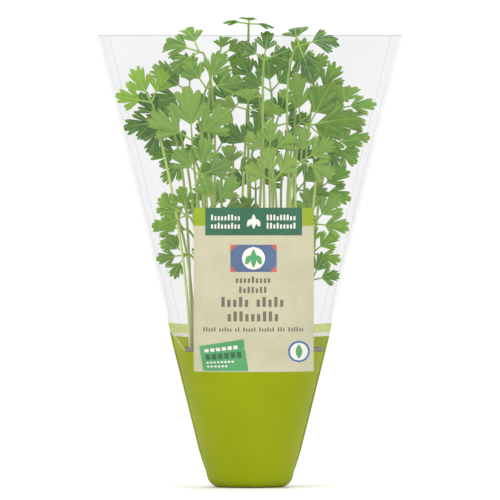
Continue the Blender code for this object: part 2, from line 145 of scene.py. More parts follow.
@dataclass
class Shape:
    """Points and faces that grow piece by piece, with one value per point for each named attribute."""

    points: list[Array]
    faces: list[Array]
    finishes: list[Array]
    values: dict[str, list[Array]]

    @classmethod
    def empty(cls, *names: str) -> "Shape":
        """A shape with no points yet and these attribute names."""
        return cls([], [], [], {name: [] for name in names})

    def count(self) -> int:
        """How many points the shape has so far."""
        return sum(len(part) for part in self.points)

    def add(
        self, points: Array, faces: list[Array], finish: int = 0, **values: Array | float
    ) -> None:
        """Adds one closed body.

        Args:
            points: its points.
            faces: arrays of faces, each with its own number of corners, counted from its first point.
            finish: index of its material.
            values: attribute values, one number or one for each point.
        """
        start = self.count()
        self.points.append(points.reshape(-1, 3))
        for part in faces:
            self.faces.append(part + start)
            self.finishes.append(np.full(len(part), finish))
        size = len(self.points[-1])
        for name, stored in self.values.items():
            given = np.asarray(values.get(name, 0.0), float).ravel()
            stored.append(np.broadcast_to(given, (size,)))

    def build(
        self, name: str, materials: list[bpy.types.Material], sharp: float = 50.0
    ) -> bpy.types.Object:
        """Makes the object.

        Args:
            name: the piece's name.
            materials: its materials, in the order that the bodies count them.
            sharp: degrees past which an edge is drawn sharp.

        Returns:
            The object, linked to the scene.
        """
        mesh = bpy.data.meshes.new(name)
        points = np.concatenate(self.points).astype(np.float32)
        mesh.vertices.add(len(points))
        mesh.vertices.foreach_set("co", points.ravel())
        sizes = np.concatenate([np.full(len(part), part.shape[1]) for part in self.faces])
        corners = np.concatenate([part.ravel() for part in self.faces]).astype(np.int32)
        mesh.loops.add(len(corners))
        mesh.loops.foreach_set("vertex_index", corners)
        mesh.polygons.add(len(sizes))
        starts = np.concatenate(([0], np.cumsum(sizes)[:-1])).astype(np.int32)
        mesh.polygons.foreach_set("loop_start", starts)
        mesh.polygons.foreach_set("material_index", np.concatenate(self.finishes).astype(np.int32))
        mesh.update(calc_edges=True)
        for label, stored in self.values.items():
            attribute = mesh.attributes.new(label, "FLOAT", "POINT")
            attribute.data.foreach_set("value", np.concatenate(stored).astype(np.float32))
        mesh.shade_smooth()
        mesh.set_sharp_from_angle(angle=math.radians(sharp))
        for material in materials:
            mesh.materials.append(material)
        piece = bpy.data.objects.new(name, mesh)
        bpy.context.scene.collection.objects.link(piece)
        return piece


def sheet_shell(front: Array, back: Array) -> tuple[Array, list[Array]]:
    """A thin closed body between two grids of the same size, joined round their margin.

    Args:
        front: the grid whose faces look outwards when its rows run up and its columns to the right.
        back: the grid behind it.

    Returns:
        The points and the faces.
    """
    rows, columns = front.shape[:2]
    size = rows * columns
    near = np.arange(size).reshape(rows, columns)
    edge = np.concatenate((near[0, :-1], near[:-1, -1], near[-1, :0:-1], near[:0:-1, 0]))
    after = np.roll(edge, -1)
    rim = np.stack((edge + size, after + size, after, edge), axis=-1)
    faces = [grid_quads(rows, columns), grid_quads(rows, columns, size)[:, ::-1], rim]
    return np.concatenate((front.reshape(-1, 3), back.reshape(-1, 3))), faces


def tube(path: Array, radii: Array, sides: int, ridges: float = 0.0) -> tuple[Array, list[Array]]:
    """A round closed tube carried along a path by a frame that doesn't spin.

    A ring's point at angle a stands at radius times (1 + ridges cos 5a) from the path, which
    gives a stalk its five ribs.

    Args:
        path: points along the middle.
        radii: the radius at each of them.
        sides: points in a ring.
        ridges: how deep its lengthwise ridges are, over its radius.

    Returns:
        The points and the faces.
    """
    tangents = unit(np.gradient(path, axis=0))
    across = np.empty_like(path)
    last = np.array((1.0, 0.0, 0.0))
    for index, tangent in enumerate(tangents):
        last = unit(last - tangent * (last @ tangent))
        across[index] = last
    over = np.cross(tangents, across)
    angles = 2 * math.pi * np.arange(sides) / sides
    reach = radii[:, None] * (1 + ridges * np.cos(5 * angles))
    ring = across[:, None] * np.cos(angles)[:, None] + over[:, None] * np.sin(angles)[:, None]
    points = path[:, None] + ring * reach[..., None]
    body = grid_quads(len(path), sides, closed=True)
    cap = np.arange(sides)
    end = cap + (len(path) - 1) * sides
    return points.reshape(-1, 3), [body, cap[None, ::-1], end[None]]


class Kind(Enum):
    """The kinds of node that the finishes are wired from."""

    ATTRIBUTE = "ShaderNodeAttribute"
    AXES = "ShaderNodeSeparateXYZ"
    BUMP = "ShaderNodeBump"
    FACING = "ShaderNodeLayerWeight"
    HUE = "ShaderNodeHueSaturation"
    JOIN = "ShaderNodeCombineXYZ"
    MAPPING = "ShaderNodeMapping"
    MATH = "ShaderNodeMath"
    MIX = "ShaderNodeMix"
    MIX_SHADER = "ShaderNodeMixShader"
    NOISE = "ShaderNodeTexNoise"
    PLACE = "ShaderNodeTexCoord"
    RAMP = "ShaderNodeValToRGB"
    RANGE = "ShaderNodeMapRange"
    RAY = "ShaderNodeLightPath"
    TRANSLUCENT = "ShaderNodeBsdfTranslucent"
    TRANSPARENT = "ShaderNodeBsdfTransparent"
    VORONOI = "ShaderNodeTexVoronoi"


def wire(tree: bpy.types.NodeTree, node: bpy.types.Node, wires: dict[Any, Any]) -> None:
    """Sets a node's inputs and links them.

    Args:
        tree: the node tree.
        node: the node whose inputs are set.
        wires: for each input's name or number, a value, the output socket that feeds it, or a
            node whose first output feeds it.
    """
    for name, value in wires.items():
        if isinstance(value, bpy.types.Node):
            value = value.outputs[0]
        if isinstance(value, bpy.types.NodeSocket):
            tree.links.new(value, node.inputs[name])
        else:
            node.inputs[name].default_value = value


def add_node(
    tree: bpy.types.NodeTree,
    kind: Kind,
    wires: dict[Any, Any] | None = None,
    stops: tuple[tuple[float, str], ...] = (),
    **settings: Any,
) -> bpy.types.Node:
    """Adds a node, sets it and wires it up.

    Args:
        tree: the node tree.
        kind: the node's kind.
        wires: its inputs, as wire takes them.
        stops: a colour ramp's places and hex colours, with its two ends first.
        settings: the node's own properties.

    Returns:
        The node.
    """
    made = tree.nodes.new(kind.value)
    for name, value in settings.items():
        setattr(made, name, value)
    wire(tree, made, wires or {})
    for index, (place, code) in enumerate(stops):
        marks = made.color_ramp.elements
        stop = marks[index] if index < 2 else marks.new(place)
        stop.position = place
        stop.color = linear(code)
    return made


@dataclass(frozen=True)
class Place:
    """Where a shaded place of the film is: its spot, its coordinates, and the same in millimetres."""

    spot: bpy.types.NodeSocket
    x: bpy.types.NodeSocket
    y: bpy.types.NodeSocket
    z: bpy.types.NodeSocket
    across: bpy.types.Node
    height: bpy.types.Node
    front: bpy.types.Node

    @classmethod
    def wired(cls, tree: bpy.types.NodeTree) -> "Place":
        """Wires the place into a node tree.

        Args:
            tree: the material's node tree.

        Returns:
            The place, with its distance across and its height in millimetres, and 1 on the front.
        """
        spot = add_node(tree, Kind.PLACE).outputs["Object"]
        x, y, z = add_node(tree, Kind.AXES, {0: spot}).outputs
        across = add_node(tree, Kind.MATH, {0: x, 1: 1 / MM}, operation="MULTIPLY")
        height = add_node(tree, Kind.MATH, {0: z, 1: 1 / MM}, operation="MULTIPLY")
        front = add_node(tree, Kind.MATH, {0: y, 1: 0.0}, operation="LESS_THAN")
        return cls(spot, x, y, z, across, height, front)


class Finish:
    """What every finish shares: a new node material with its shader and output."""

    name: str

    def begin(self) -> tuple[bpy.types.Material, bpy.types.NodeTree, bpy.types.Node, bpy.types.Node]:
        """Starts the material.

        Returns:
            A new material with its tree, its Principled shader and its output.
        """
        material = bpy.data.materials.new(self.name)
        material.use_nodes = True
        tree = material.node_tree
        return material, tree, tree.nodes["Principled BSDF"], tree.nodes["Material Output"]


# Leaf tissue: thin, waxy on top and matt and pale beneath, with pale veins. It lets light
# through, so it is never dark. Index of refraction of leaf wax is about 1.45.
@dataclass(frozen=True)
class LeafTissue(Finish):
    """The blade of a parsley leaflet, coloured by its side, its veins and the frond's tone, which holds
    painted shade and light.
    """

    name: str = "parsley_leaf_tissue"
    deep: str = "1F5204"
    bright: str = "7FA818"
    under_deep: str = "4F7E2A"
    under_bright: str = "9CBC50"
    vein: str = "9FBE50"
    vein_share: float = 0.55
    mottle_mm: float = 2.6
    mottle_share: float = 0.5
    cell_mm: float = 0.7
    matt_beneath: float = 0.68
    waxy_above: float = 0.46
    refraction: float = 1.45

    def material(self) -> bpy.types.Material:
        """Builds the material.

        Returns:
            The material.
        """
        material, tree, shader, _ = self.begin()
        place = add_node(tree, Kind.PLACE).outputs["Object"]
        tone, upper, veins = (
            add_node(tree, Kind.ATTRIBUTE, attribute_name=name).outputs["Fac"]
            for name in ("tone", "upper", "vein")
        )
        wires = {"Vector": place, "Scale": 1 / (self.mottle_mm * MM), "Detail": 3.0}
        mottle = add_node(tree, Kind.NOISE, wires)
        cells = add_node(tree, Kind.VORONOI, {"Vector": place, "Scale": 1 / (self.cell_mm * MM)})
        # The frond's tone moves the blade between the deep and the bright green, which paints shade and
        # light along with the mottling.
        wires = {0: mottle, 1: self.mottle_share, 2: tone}
        shift = add_node(tree, Kind.MATH, wires, operation="MULTIPLY_ADD")
        wires = {0: shift, 1: self.mottle_share / 2}
        level = add_node(tree, Kind.MATH, wires, operation="SUBTRACT", use_clamp=True)
        top = add_node(tree, Kind.RAMP, {0: level}, ((0.0, self.deep), (1.0, self.bright)))
        under = add_node(tree, Kind.RAMP, {0: level}, ((0.0, self.under_deep), (1.0, self.under_bright)))
        sides = add_node(tree, Kind.MIX, {0: upper, 6: under, 7: top}, data_type="RGBA").outputs[2]
        drawn = add_node(tree, Kind.MATH, {0: veins, 1: self.vein_share}, operation="MULTIPLY")
        wires = {0: drawn, 6: sides, 7: linear(self.vein)}
        tissue = add_node(tree, Kind.MIX, wires, data_type="RGBA").outputs[2]
        wires = {"Value": upper, "To Min": self.matt_beneath, "To Max": self.waxy_above}
        rough = add_node(tree, Kind.RANGE, wires)
        height = add_node(tree, Kind.MATH, {0: cells, 1: 0.25, 2: veins}, operation="MULTIPLY_ADD")
        bump = add_node(tree, Kind.BUMP, {"Height": height, "Strength": 0.5, "Distance": 0.15 * MM})
        wire(tree, shader, {"Base Color": tissue, "Roughness": rough, "Normal": bump})
        wire(tree, shader, {"IOR": self.refraction, "Subsurface Weight": 0.25})
        wire(tree, shader, {"Subsurface Radius": (0.6, 1.0, 0.2), "Subsurface Scale": 1.5 * MM})
        return material


# Leaf stalk: wet, ribbed and nearly smooth, pale where the compost kept the light off it.
@dataclass(frozen=True)
class StalkTissue(Finish):
    """The stalk of a frond, paler towards its root, with fine lengthwise ribs."""

    name: str = "parsley_stalk_tissue"
    root: str = "E6EBB8"
    middle: str = "C6D97C"
    crown: str = "98BC46"
    fibre_mm: float = 1.2
    fibre_stretch: float = 25.0
    fibre_share: float = 0.3
    refraction: float = 1.45

    def material(self) -> bpy.types.Material:
        """Builds the material.

        Returns:
            The material.
        """
        material, tree, shader, _ = self.begin()
        place = add_node(tree, Kind.PLACE).outputs["Object"]
        along = add_node(tree, Kind.ATTRIBUTE, attribute_name="along").outputs["Fac"]
        tone = add_node(tree, Kind.ATTRIBUTE, attribute_name="tone").outputs["Fac"]
        wires = {"Vector": place, "Scale": (1.0, 1.0, self.fibre_stretch)}
        stretch = add_node(tree, Kind.MAPPING, wires, vector_type="TEXTURE")
        wires = {"Vector": stretch, "Scale": 1 / (self.fibre_mm * MM), "Detail": 2.0}
        fibres = add_node(tree, Kind.NOISE, wires)
        wires = {0: fibres, 1: self.fibre_share, 2: along}
        mixed = add_node(tree, Kind.MATH, wires, operation="MULTIPLY_ADD")
        wires = {0: mixed, 1: self.fibre_share / 2}
        level = add_node(tree, Kind.MATH, wires, operation="SUBTRACT", use_clamp=True)
        stops = ((0.0, self.root), (1.0, self.crown), (0.55, self.middle))
        colour = add_node(tree, Kind.RAMP, {0: level}, stops)
        # The stalk is painted darker in shade and lighter in light with its frond's tone.
        lit = add_node(tree, Kind.RANGE, {"Value": tone, "To Min": 0.85, "To Max": 1.12})
        hue = add_node(tree, Kind.HUE, {"Value": lit, "Color": colour})
        gloss = add_node(tree, Kind.RANGE, {"Value": fibres, "To Min": 0.32, "To Max": 0.5})
        bump = add_node(tree, Kind.BUMP, {"Height": fibres, "Strength": 0.4, "Distance": 0.2 * MM})
        wire(tree, shader, {"Base Color": hue, "Roughness": gloss, "Normal": bump})
        wire(tree, shader, {"IOR": self.refraction, "Subsurface Weight": 0.3})
        wire(tree, shader, {"Subsurface Radius": (0.8, 1.0, 0.3), "Subsurface Scale": 1.5 * MM})
        return material


# Printed polypropylene film: clear with a faint milky haze, and glossy. Its print lets some
# light through. Polypropylene's index of refraction is 1.49.
@dataclass(frozen=True)
class PrintedFilm(Finish):
    """The outside of the sleeve's film: clear above, and printed below an edge that steps at the side seams.

    The front's edge is level and rises in a straight slope to the left seam. The back's
    edge lies higher and sags in the middle. A white line and an olive band follow the
    edge, except on the front to the right of the slope. Heights are in millimetres.
    """

    name: str = "printed_polypropylene_film"
    ink: str = "B3C20C"
    ink_dark: str = "ABBA08"
    white: str = "F6F6EC"
    olive: str = "D9DE6A"
    haze: str = "777B83"
    front_edge: float = 96.5
    slope_start: float = -45.5
    slope_rise: float = 1.27
    back_edge: float = 104.2
    back_sag: float = 3.2
    back_reach: float = 57.0
    line_back: float = 2.6
    line_front: float = 1.4
    line_cover: float = 0.85
    band: float = 6.4
    band_back_cover: float = 0.85
    band_front_cover: float = 0.35
    crease_in: float = 8.0
    crease_half: float = 0.4
    crease_share: float = 0.06
    mouth: float = 320.2
    mouth_share: float = 0.16
    haze_share: float = 0.08
    haze_grazing: float = 0.30
    ink_glow: float = 0.35
    back_glow: float = 0.52
    white_glow: float = 0.65
    cloud_mm: float = 38.0
    ripple_mm: float = 9.0
    refraction: float = 1.49

    def above_edge(self, tree: bpy.types.NodeTree, place: Place) -> bpy.types.Node:
        """Wires the height of a place above the edge of the print.

        Args:
            tree: the material's node tree.
            place: where the place is.

        Returns:
            The node that gives the height.
        """
        left = add_node(tree, Kind.MATH, {0: self.slope_start, 1: place.across}, operation="SUBTRACT")
        left = add_node(tree, Kind.MATH, {0: left, 1: 0.0}, operation="MAXIMUM")
        climb = add_node(tree, Kind.MATH, {0: left, 1: self.slope_rise}, operation="MULTIPLY")
        share = add_node(tree, Kind.MATH, {0: place.across, 1: self.back_reach}, operation="DIVIDE")
        share = add_node(tree, Kind.MATH, {0: share}, operation="ABSOLUTE")
        sag = add_node(tree, Kind.MATH, {0: share, 1: 2.0}, operation="POWER")
        wires = {0: sag, 1: self.back_sag, 2: self.back_edge}
        back_edge = add_node(tree, Kind.MATH, wires, operation="MULTIPLY_ADD")
        front_edge = add_node(tree, Kind.MATH, {0: climb, 1: self.front_edge}, operation="ADD")
        edge = add_node(tree, Kind.MIX, {0: place.front, 2: back_edge, 3: front_edge})
        return add_node(tree, Kind.MATH, {0: place.height, 1: edge}, operation="SUBTRACT")

    def cloudiness(self, tree: bpy.types.NodeTree, place: Place) -> bpy.types.Node:
        """Wires how milky the clear film is: streaks that fan upwards, a rim of haze, creases and the lip.

        Args:
            tree: the material's node tree.
            place: where the place is.

        Returns:
            The node that gives the share of haze.
        """
        facing = add_node(tree, Kind.FACING, {"Blend": 0.25}).outputs["Facing"]
        grazing = add_node(tree, Kind.MATH, {0: facing, 1: 3.0}, operation="POWER")
        grazing = add_node(tree, Kind.MATH, {0: grazing, 1: self.haze_grazing}, operation="MULTIPLY")
        spread = add_node(tree, Kind.MATH, {0: place.z, 1: 0.16}, operation="ADD")
        fan = add_node(tree, Kind.MATH, {0: place.x, 1: spread}, operation="DIVIDE")
        drawn = add_node(tree, Kind.MATH, {0: place.z, 1: 0.6}, operation="MULTIPLY")
        drawn = add_node(tree, Kind.JOIN, {0: fan, 1: place.y, 2: drawn})
        streaks = add_node(tree, Kind.NOISE, {"Vector": drawn, "Scale": 14.0, "Detail": 3.0})
        milky = add_node(tree, Kind.MATH, {0: streaks, 1: 0.5}, operation="ADD")
        milky = add_node(tree, Kind.MATH, {0: milky, 1: self.haze_share}, operation="MULTIPLY")
        low, high = FORM.section(np.array((FORM.rim_height, FORM.height)))[0] / MM
        widening = (high - low) / (FORM.height - FORM.rim_height) * MM
        wires = {0: place.height, 1: float(widening), 2: float(high - widening * FORM.height / MM)}
        wide = add_node(tree, Kind.MATH, wires, operation="MULTIPLY_ADD")
        outer = add_node(tree, Kind.MATH, {0: place.across}, operation="ABSOLUTE")
        crease = add_node(tree, Kind.MATH, {0: wide, 1: self.crease_in}, operation="SUBTRACT")
        beside = add_node(tree, Kind.MATH, {0: outer, 1: crease}, operation="SUBTRACT")
        beside = add_node(tree, Kind.MATH, {0: beside}, operation="ABSOLUTE")
        creased = add_node(tree, Kind.MATH, {0: beside, 1: self.crease_half}, operation="LESS_THAN")
        creased = add_node(tree, Kind.MATH, {0: creased, 1: self.crease_share}, operation="MULTIPLY")
        edged = add_node(tree, Kind.MATH, {0: place.height, 1: self.mouth}, operation="GREATER_THAN")
        edged = add_node(tree, Kind.MATH, {0: edged, 1: self.mouth_share}, operation="MULTIPLY")
        haze = add_node(tree, Kind.MATH, {0: milky, 1: grazing}, operation="ADD")
        lines = add_node(tree, Kind.MATH, {0: creased, 1: edged}, operation="MAXIMUM")
        return add_node(tree, Kind.MATH, {0: haze, 1: lines}, operation="ADD", use_clamp=True)

    def material(self) -> bpy.types.Material:
        """Builds the material.

        Returns:
            The material.
        """
        material, tree, shader, output = self.begin()
        place = Place.wired(tree)
        over = self.above_edge(tree, place)
        inked = add_node(tree, Kind.MATH, {0: over, 1: 0.0}, operation="LESS_THAN")
        sloped = add_node(tree, Kind.MATH, {0: place.across, 1: self.slope_start}, operation="LESS_THAN")
        behind = add_node(tree, Kind.MATH, {0: 1.0, 1: place.front}, operation="SUBTRACT")
        banded = add_node(tree, Kind.MATH, {0: sloped, 1: behind}, operation="MAXIMUM")
        line = add_node(tree, Kind.MIX, {0: place.front, 2: self.line_back, 3: self.line_front})
        lined = add_node(tree, Kind.MATH, {0: over, 1: line}, operation="LESS_THAN")
        lined = add_node(tree, Kind.MATH, {0: lined, 1: banded}, operation="MULTIPLY")
        band = add_node(tree, Kind.MATH, {0: line, 1: self.band}, operation="ADD")
        olived = add_node(tree, Kind.MATH, {0: over, 1: band}, operation="LESS_THAN")
        olived = add_node(tree, Kind.MATH, {0: olived, 1: banded}, operation="MULTIPLY")

        wires = {"Vector": place.spot, "Scale": 1 / (self.cloud_mm * MM), "Detail": 2.0}
        cloud = add_node(tree, Kind.NOISE, wires)
        colour = linear(self.haze)
        ink = add_node(tree, Kind.RAMP, {0: cloud}, ((0.3, self.ink_dark), (0.7, self.ink)))
        for share, paint in ((olived, linear(self.olive)), (lined, linear(self.white)), (inked, ink)):
            colour = add_node(tree, Kind.MIX, {0: share, 6: colour, 7: paint}, data_type="RGBA").outputs[2]

        clear = self.cloudiness(tree, place)
        olive_cover = {0: place.front, 2: self.band_back_cover, 3: self.band_front_cover}
        cover = add_node(tree, Kind.MIX, {0: olived, 2: clear, 3: add_node(tree, Kind.MIX, olive_cover)})
        cover = add_node(tree, Kind.MIX, {0: lined, 2: cover, 3: self.line_cover})
        cover = add_node(tree, Kind.MATH, {0: cover, 1: inked}, operation="MAXIMUM")
        printed = add_node(tree, Kind.MATH, {0: inked, 1: olived}, operation="MAXIMUM")
        ink_glow = add_node(tree, Kind.MIX, {0: place.front, 2: self.back_glow, 3: self.ink_glow})
        glow = add_node(tree, Kind.MIX, {0: inked, 2: self.white_glow, 3: ink_glow})
        glow = add_node(tree, Kind.MATH, {0: printed, 1: glow}, operation="MULTIPLY")

        wires = {"Vector": place.spot, "Scale": 1 / (self.ripple_mm * MM), "Detail": 2.0}
        ripple = add_node(tree, Kind.NOISE, wires)
        bump = add_node(tree, Kind.BUMP, {"Height": ripple, "Strength": 0.15, "Distance": 0.4 * MM})
        wire(tree, shader, {"Base Color": colour, "Normal": bump, "Roughness": 0.45})
        wire(tree, shader, {"IOR": self.refraction, "Specular IOR Level": 0.18})
        through = add_node(tree, Kind.TRANSLUCENT, {0: colour})
        body = add_node(tree, Kind.MIX_SHADER, {0: glow, 1: shader, 2: through})
        see = add_node(tree, Kind.TRANSPARENT)
        wire(tree, output, {"Surface": add_node(tree, Kind.MIX_SHADER, {0: cover, 1: see, 2: body})})
        return material


# The unprinted inner face of the same film: clear and glossy, with a trace of the haze.
@dataclass(frozen=True)
class ClearFilm(Finish):
    """The inside of the sleeve's film, slightly cloudier in patches."""

    name: str = "clear_polypropylene_film"
    haze: str = "C6CAD0"
    share: float = 0.03
    patch_mm: float = 30.0
    refraction: float = 1.49

    def material(self) -> bpy.types.Material:
        """Builds the material.

        Returns:
            The material.
        """
        material, tree, shader, output = self.begin()
        place = add_node(tree, Kind.PLACE).outputs["Object"]
        wires = {"Vector": place, "Scale": 1 / (self.patch_mm * MM), "Detail": 1.0}
        cloud = add_node(tree, Kind.NOISE, wires)
        cover = add_node(tree, Kind.MATH, {0: cloud, 1: self.share * 2}, operation="MULTIPLY")
        wire(tree, shader, {"Base Color": linear(self.haze), "Roughness": 0.3, "IOR": self.refraction})
        see = add_node(tree, Kind.TRANSPARENT)
        wire(tree, output, {"Surface": add_node(tree, Kind.MIX_SHADER, {0: cover, 1: see, 2: shader})})
        return material


# Printing ink on film: opaque, satin, with the faint unevenness of a printed flat.
@dataclass(frozen=True)
class PrintInk(Finish):
    """One colour of the label's printing, slightly clouded, and speckled like uncoated board if asked."""

    name: str
    colour: str
    shade: str
    cloud_mm: float = 14.0
    speck_mm: float = 0.9
    speck: float = 0.25
    roughness: float = 0.42
    refraction: float = 1.49

    def material(self) -> bpy.types.Material:
        """Builds the material.

        Returns:
            The material.
        """
        material, tree, shader, _ = self.begin()
        place = add_node(tree, Kind.PLACE).outputs["Object"]
        wires = {"Vector": place, "Scale": 1 / (self.cloud_mm * MM), "Detail": 2.0}
        cloud = add_node(tree, Kind.NOISE, wires)
        wires = {"Vector": place, "Scale": 1 / (self.speck_mm * MM), "Detail": 1.0}
        specks = add_node(tree, Kind.NOISE, wires)
        mixed = add_node(tree, Kind.MIX, {0: self.speck, 2: cloud, 3: specks})
        colour = add_node(tree, Kind.RAMP, {0: mixed}, ((0.35, self.shade), (0.6, self.colour)))
        bump = add_node(tree, Kind.BUMP, {"Height": specks, "Strength": 0.08, "Distance": 0.1 * MM})
        wire(tree, shader, {"Base Color": colour, "Normal": bump})
        wire(tree, shader, {"Roughness": self.roughness, "IOR": self.refraction})
        return material


# Injection-moulded recycled polypropylene, taupe: satin, with a fine moulded grain.
@dataclass(frozen=True)
class PotPlastic(Finish):
    """The nursery pot's taupe plastic, dusted with compost in places."""

    name: str = "moulded_taupe_polypropylene"
    taupe: str = "8A7D70"
    dust: str = "5E5044"
    grain_mm: float = 0.6
    dust_mm: float = 16.0
    clean_roughness: float = 0.38
    dusty_roughness: float = 0.7
    refraction: float = 1.49

    def material(self) -> bpy.types.Material:
        """Builds the material.

        Returns:
            The material.
        """
        material, tree, shader, _ = self.begin()
        place = add_node(tree, Kind.PLACE).outputs["Object"]
        wires = {"Vector": place, "Scale": 1 / (self.grain_mm * MM), "Detail": 1.0}
        grain = add_node(tree, Kind.NOISE, wires)
        wires = {"Vector": place, "Scale": 1 / (self.dust_mm * MM), "Detail": 4.0}
        dust = add_node(tree, Kind.NOISE, wires)
        colour = add_node(tree, Kind.RAMP, {0: dust}, ((0.52, self.taupe), (0.72, self.dust)))
        wires = {"Value": dust, "To Min": self.clean_roughness, "To Max": self.dusty_roughness}
        rough = add_node(tree, Kind.RANGE, wires)
        bump = add_node(tree, Kind.BUMP, {"Height": grain, "Strength": 0.25, "Distance": 0.1 * MM})
        wire(tree, shader, {"Base Color": colour, "Roughness": rough, "Normal": bump})
        wire(tree, shader, {"IOR": self.refraction})
        return material


# Peat-free compost: dark crumbs of bark and coir with pale fibres, damp and fully matt.
@dataclass(frozen=True)
class CompostCrumb(Finish):
    """Crumbly compost, mottled from nearly black to brown, with straw-coloured flecks."""

    name: str = "damp_bark_compost"
    dark: str = "1D130C"
    brown: str = "4B3322"
    fleck: str = "8C7350"
    crumb_mm: float = 2.2
    fleck_mm: float = 3.5

    def material(self) -> bpy.types.Material:
        """Builds the material.

        Returns:
            The material.
        """
        material, tree, shader, _ = self.begin()
        place = add_node(tree, Kind.PLACE).outputs["Object"]
        wires = {"Vector": place, "Scale": 1 / (self.crumb_mm * MM), "Detail": 5.0}
        crumbs = add_node(tree, Kind.NOISE, wires)
        flecks = add_node(tree, Kind.VORONOI, {"Vector": place, "Scale": 1 / (self.fleck_mm * MM)})
        soil = add_node(tree, Kind.RAMP, {0: crumbs}, ((0.35, self.dark), (0.68, self.brown)))
        share = add_node(tree, Kind.RANGE, {"Value": flecks, "From Min": 0.16, "From Max": 0.1})
        wires = {0: share, 6: soil, 7: linear(self.fleck)}
        colour = add_node(tree, Kind.MIX, wires, data_type="RGBA").outputs[2]
        bump = add_node(tree, Kind.BUMP, {"Height": crumbs, "Strength": 0.9, "Distance": 1.0 * MM})
        wire(tree, shader, {"Base Color": colour, "Normal": bump})
        wire(tree, shader, {"Roughness": 0.95, "Specular IOR Level": 0.2})
        return material


# The pack's own form, which the sleeve, the pot and the parsley share.


@dataclass(frozen=True)
class PackForm:
    """Outside of the sleeve: round over the pot, and flattening to a nearly closed mouth above it."""

    clearance: float = 0.35 * MM
    film: float = 0.35 * MM
    height: float = 321.0 * MM
    mouth_width: float = 216.6 * MM
    mouth_depth: float = 32.0 * MM
    foot_radius: float = 7.0 * MM
    flattening: float = 1.45
    pot_height: float = 98.5 * MM
    rim_diameter: float = 105.2 * MM
    base_diameter: float = 56.2 * MM
    compost_below_rim: float = 3.5 * MM
    compost_crown: float = 2.0 * MM
    fold_depth: float = 0.55 * MM
    least_slack: float = 0.06 * MM
    fold_width: float = 42 * MM

    @property
    def pot_bottom(self) -> float:
        """Height of the pot's underside."""
        return self.film + self.clearance

    @property
    def rim_height(self) -> float:
        """Height of the pot's rim."""
        return self.pot_bottom + self.pot_height

    @property
    def compost_edge(self) -> float:
        """Height of the compost where it meets the pot."""
        return self.rim_height - self.compost_below_rim

    def pot_radius(self, height: Array | float) -> Array | float:
        """Radius of the straight line from the pot's foot to its rim, at a height."""
        share = (height - self.pot_bottom) / self.pot_height
        return (self.base_diameter + (self.rim_diameter - self.base_diameter) * share) / 2

    def section(self, height: Array) -> tuple[Array, Array]:
        """Half width and half depth of the sleeve's outside.

        Both follow the pot's cone up to its rim. Above it the half width runs straight to the
        mouth's, and the half depth falls from the rim's by the share of the height to a power.

        Args:
            height: heights above the floor.

        Returns:
            Half widths and half depths.
        """
        height = np.asarray(height, float)
        rim = self.pot_radius(self.rim_height) + self.film + self.clearance
        cone = self.pot_radius(height) + self.film + self.clearance
        share = np.clip((height - self.rim_height) / (self.height - self.rim_height), 0.0, 1.0)
        wide = rim + (self.mouth_width / 2 - rim) * share
        deep = self.mouth_depth / 2 + (rim - self.mouth_depth / 2) * (1 - share**self.flattening)
        low = height <= self.rim_height
        return np.where(low, cone, wide), np.where(low, cone, deep)

    def ground(self, radius: Array) -> Array:
        """Height of the compost's crowned top: highest in the middle, falling with the radius squared."""
        edge = self.pot_radius(self.compost_edge)
        return self.compost_edge + self.compost_crown * (1 - (radius / edge) ** 2)

    def front(self, x: Array, z: Array) -> Array:
        """How far in front of the middle plane the outside of the film's front stands."""
        wide, deep = self.section(z)
        return deep * np.sqrt(np.maximum(1 - (x / wide) ** 2, 0.0)) + self.ripple(x, z, 1.0)

    def ripple(self, x: Array, z: Array, side: Array | float) -> Array:
        """Slack in the film, as millimetre-deep soft folds that die out over the pot and at the mouth.

        The folds are noise stretched along the height, so that they fan upwards.

        Args:
            x: places across.
            z: heights.
            side: 1 on the front and -1 on the back.

        Returns:
            How far the film stands in from its smooth form, as a negative distance.
        """
        share = np.clip((z - self.rim_height) / (self.height - self.rim_height), 0.0, 1.0)
        slack = self.fold_depth * np.sin(math.pi * share) ** 0.7 + self.least_slack
        fan = x / (0.5 + share)
        places = np.stack(np.broadcast_arrays(fan, z * 0.16, side * 0.05), axis=-1)
        return -slack * (1 + fractal(places, self.fold_width, 11, 2)) / 2


FORM = PackForm()


# The parsley.


class Tone(Enum):
    """How light a frond's leaf is painted: partly its own green, and partly painted shade on fronds that lie
    in shadow and painted light on fronds lit through.
    """

    IN_SHADE = 0.12
    MID = 0.40
    IN_LIGHT = 0.62
    LIT_THROUGH = 0.92


@dataclass(frozen=True)
class Frond:
    """Where one frond goes and how its leaf is turned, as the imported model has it.

    x, z: the wanted place of the leaf's node in mm.  aim: the leaf's direction in
    degrees, 0 up and 90 towards +X.  lean: degrees that it tips forward.  roll: degrees
    that it turns on its rib.  size: length of the middle leaflet in mm.  spread: degrees
    to the side leaflets.  arch: degrees that a leaflet bends down over its length.
    """

    x: float
    z: float
    aim: float
    lean: float
    roll: float
    size: float
    spread: float
    arch: float
    # tone: how light the leaf is painted, partly its own green and partly painted shade and light.
    tone: Tone = Tone.MID

    def axes(self) -> tuple[Array, Array, Array]:
        """Turns the leaf: aimed in the plane of the front, leaned forward, then rolled on its rib.

        Returns:
            The leaf's direction, its side and the normal between them.
        """
        aim, lean, roll = (math.radians(value) for value in (self.aim, self.lean, self.roll))
        side = np.array((math.cos(aim), 0.0, -math.sin(aim)))
        direction = turn(np.array((math.sin(aim), 0.0, math.cos(aim))), side, lean)
        side = turn(side, direction, roll)
        return direction, side, np.cross(side, direction)

    def droop(self) -> int:
        """1 if the leaf's normal looks up, so that its tip bends away from it, and -1 if it looks down."""
        return 1 if self.axes()[2][2] >= 0 else -1
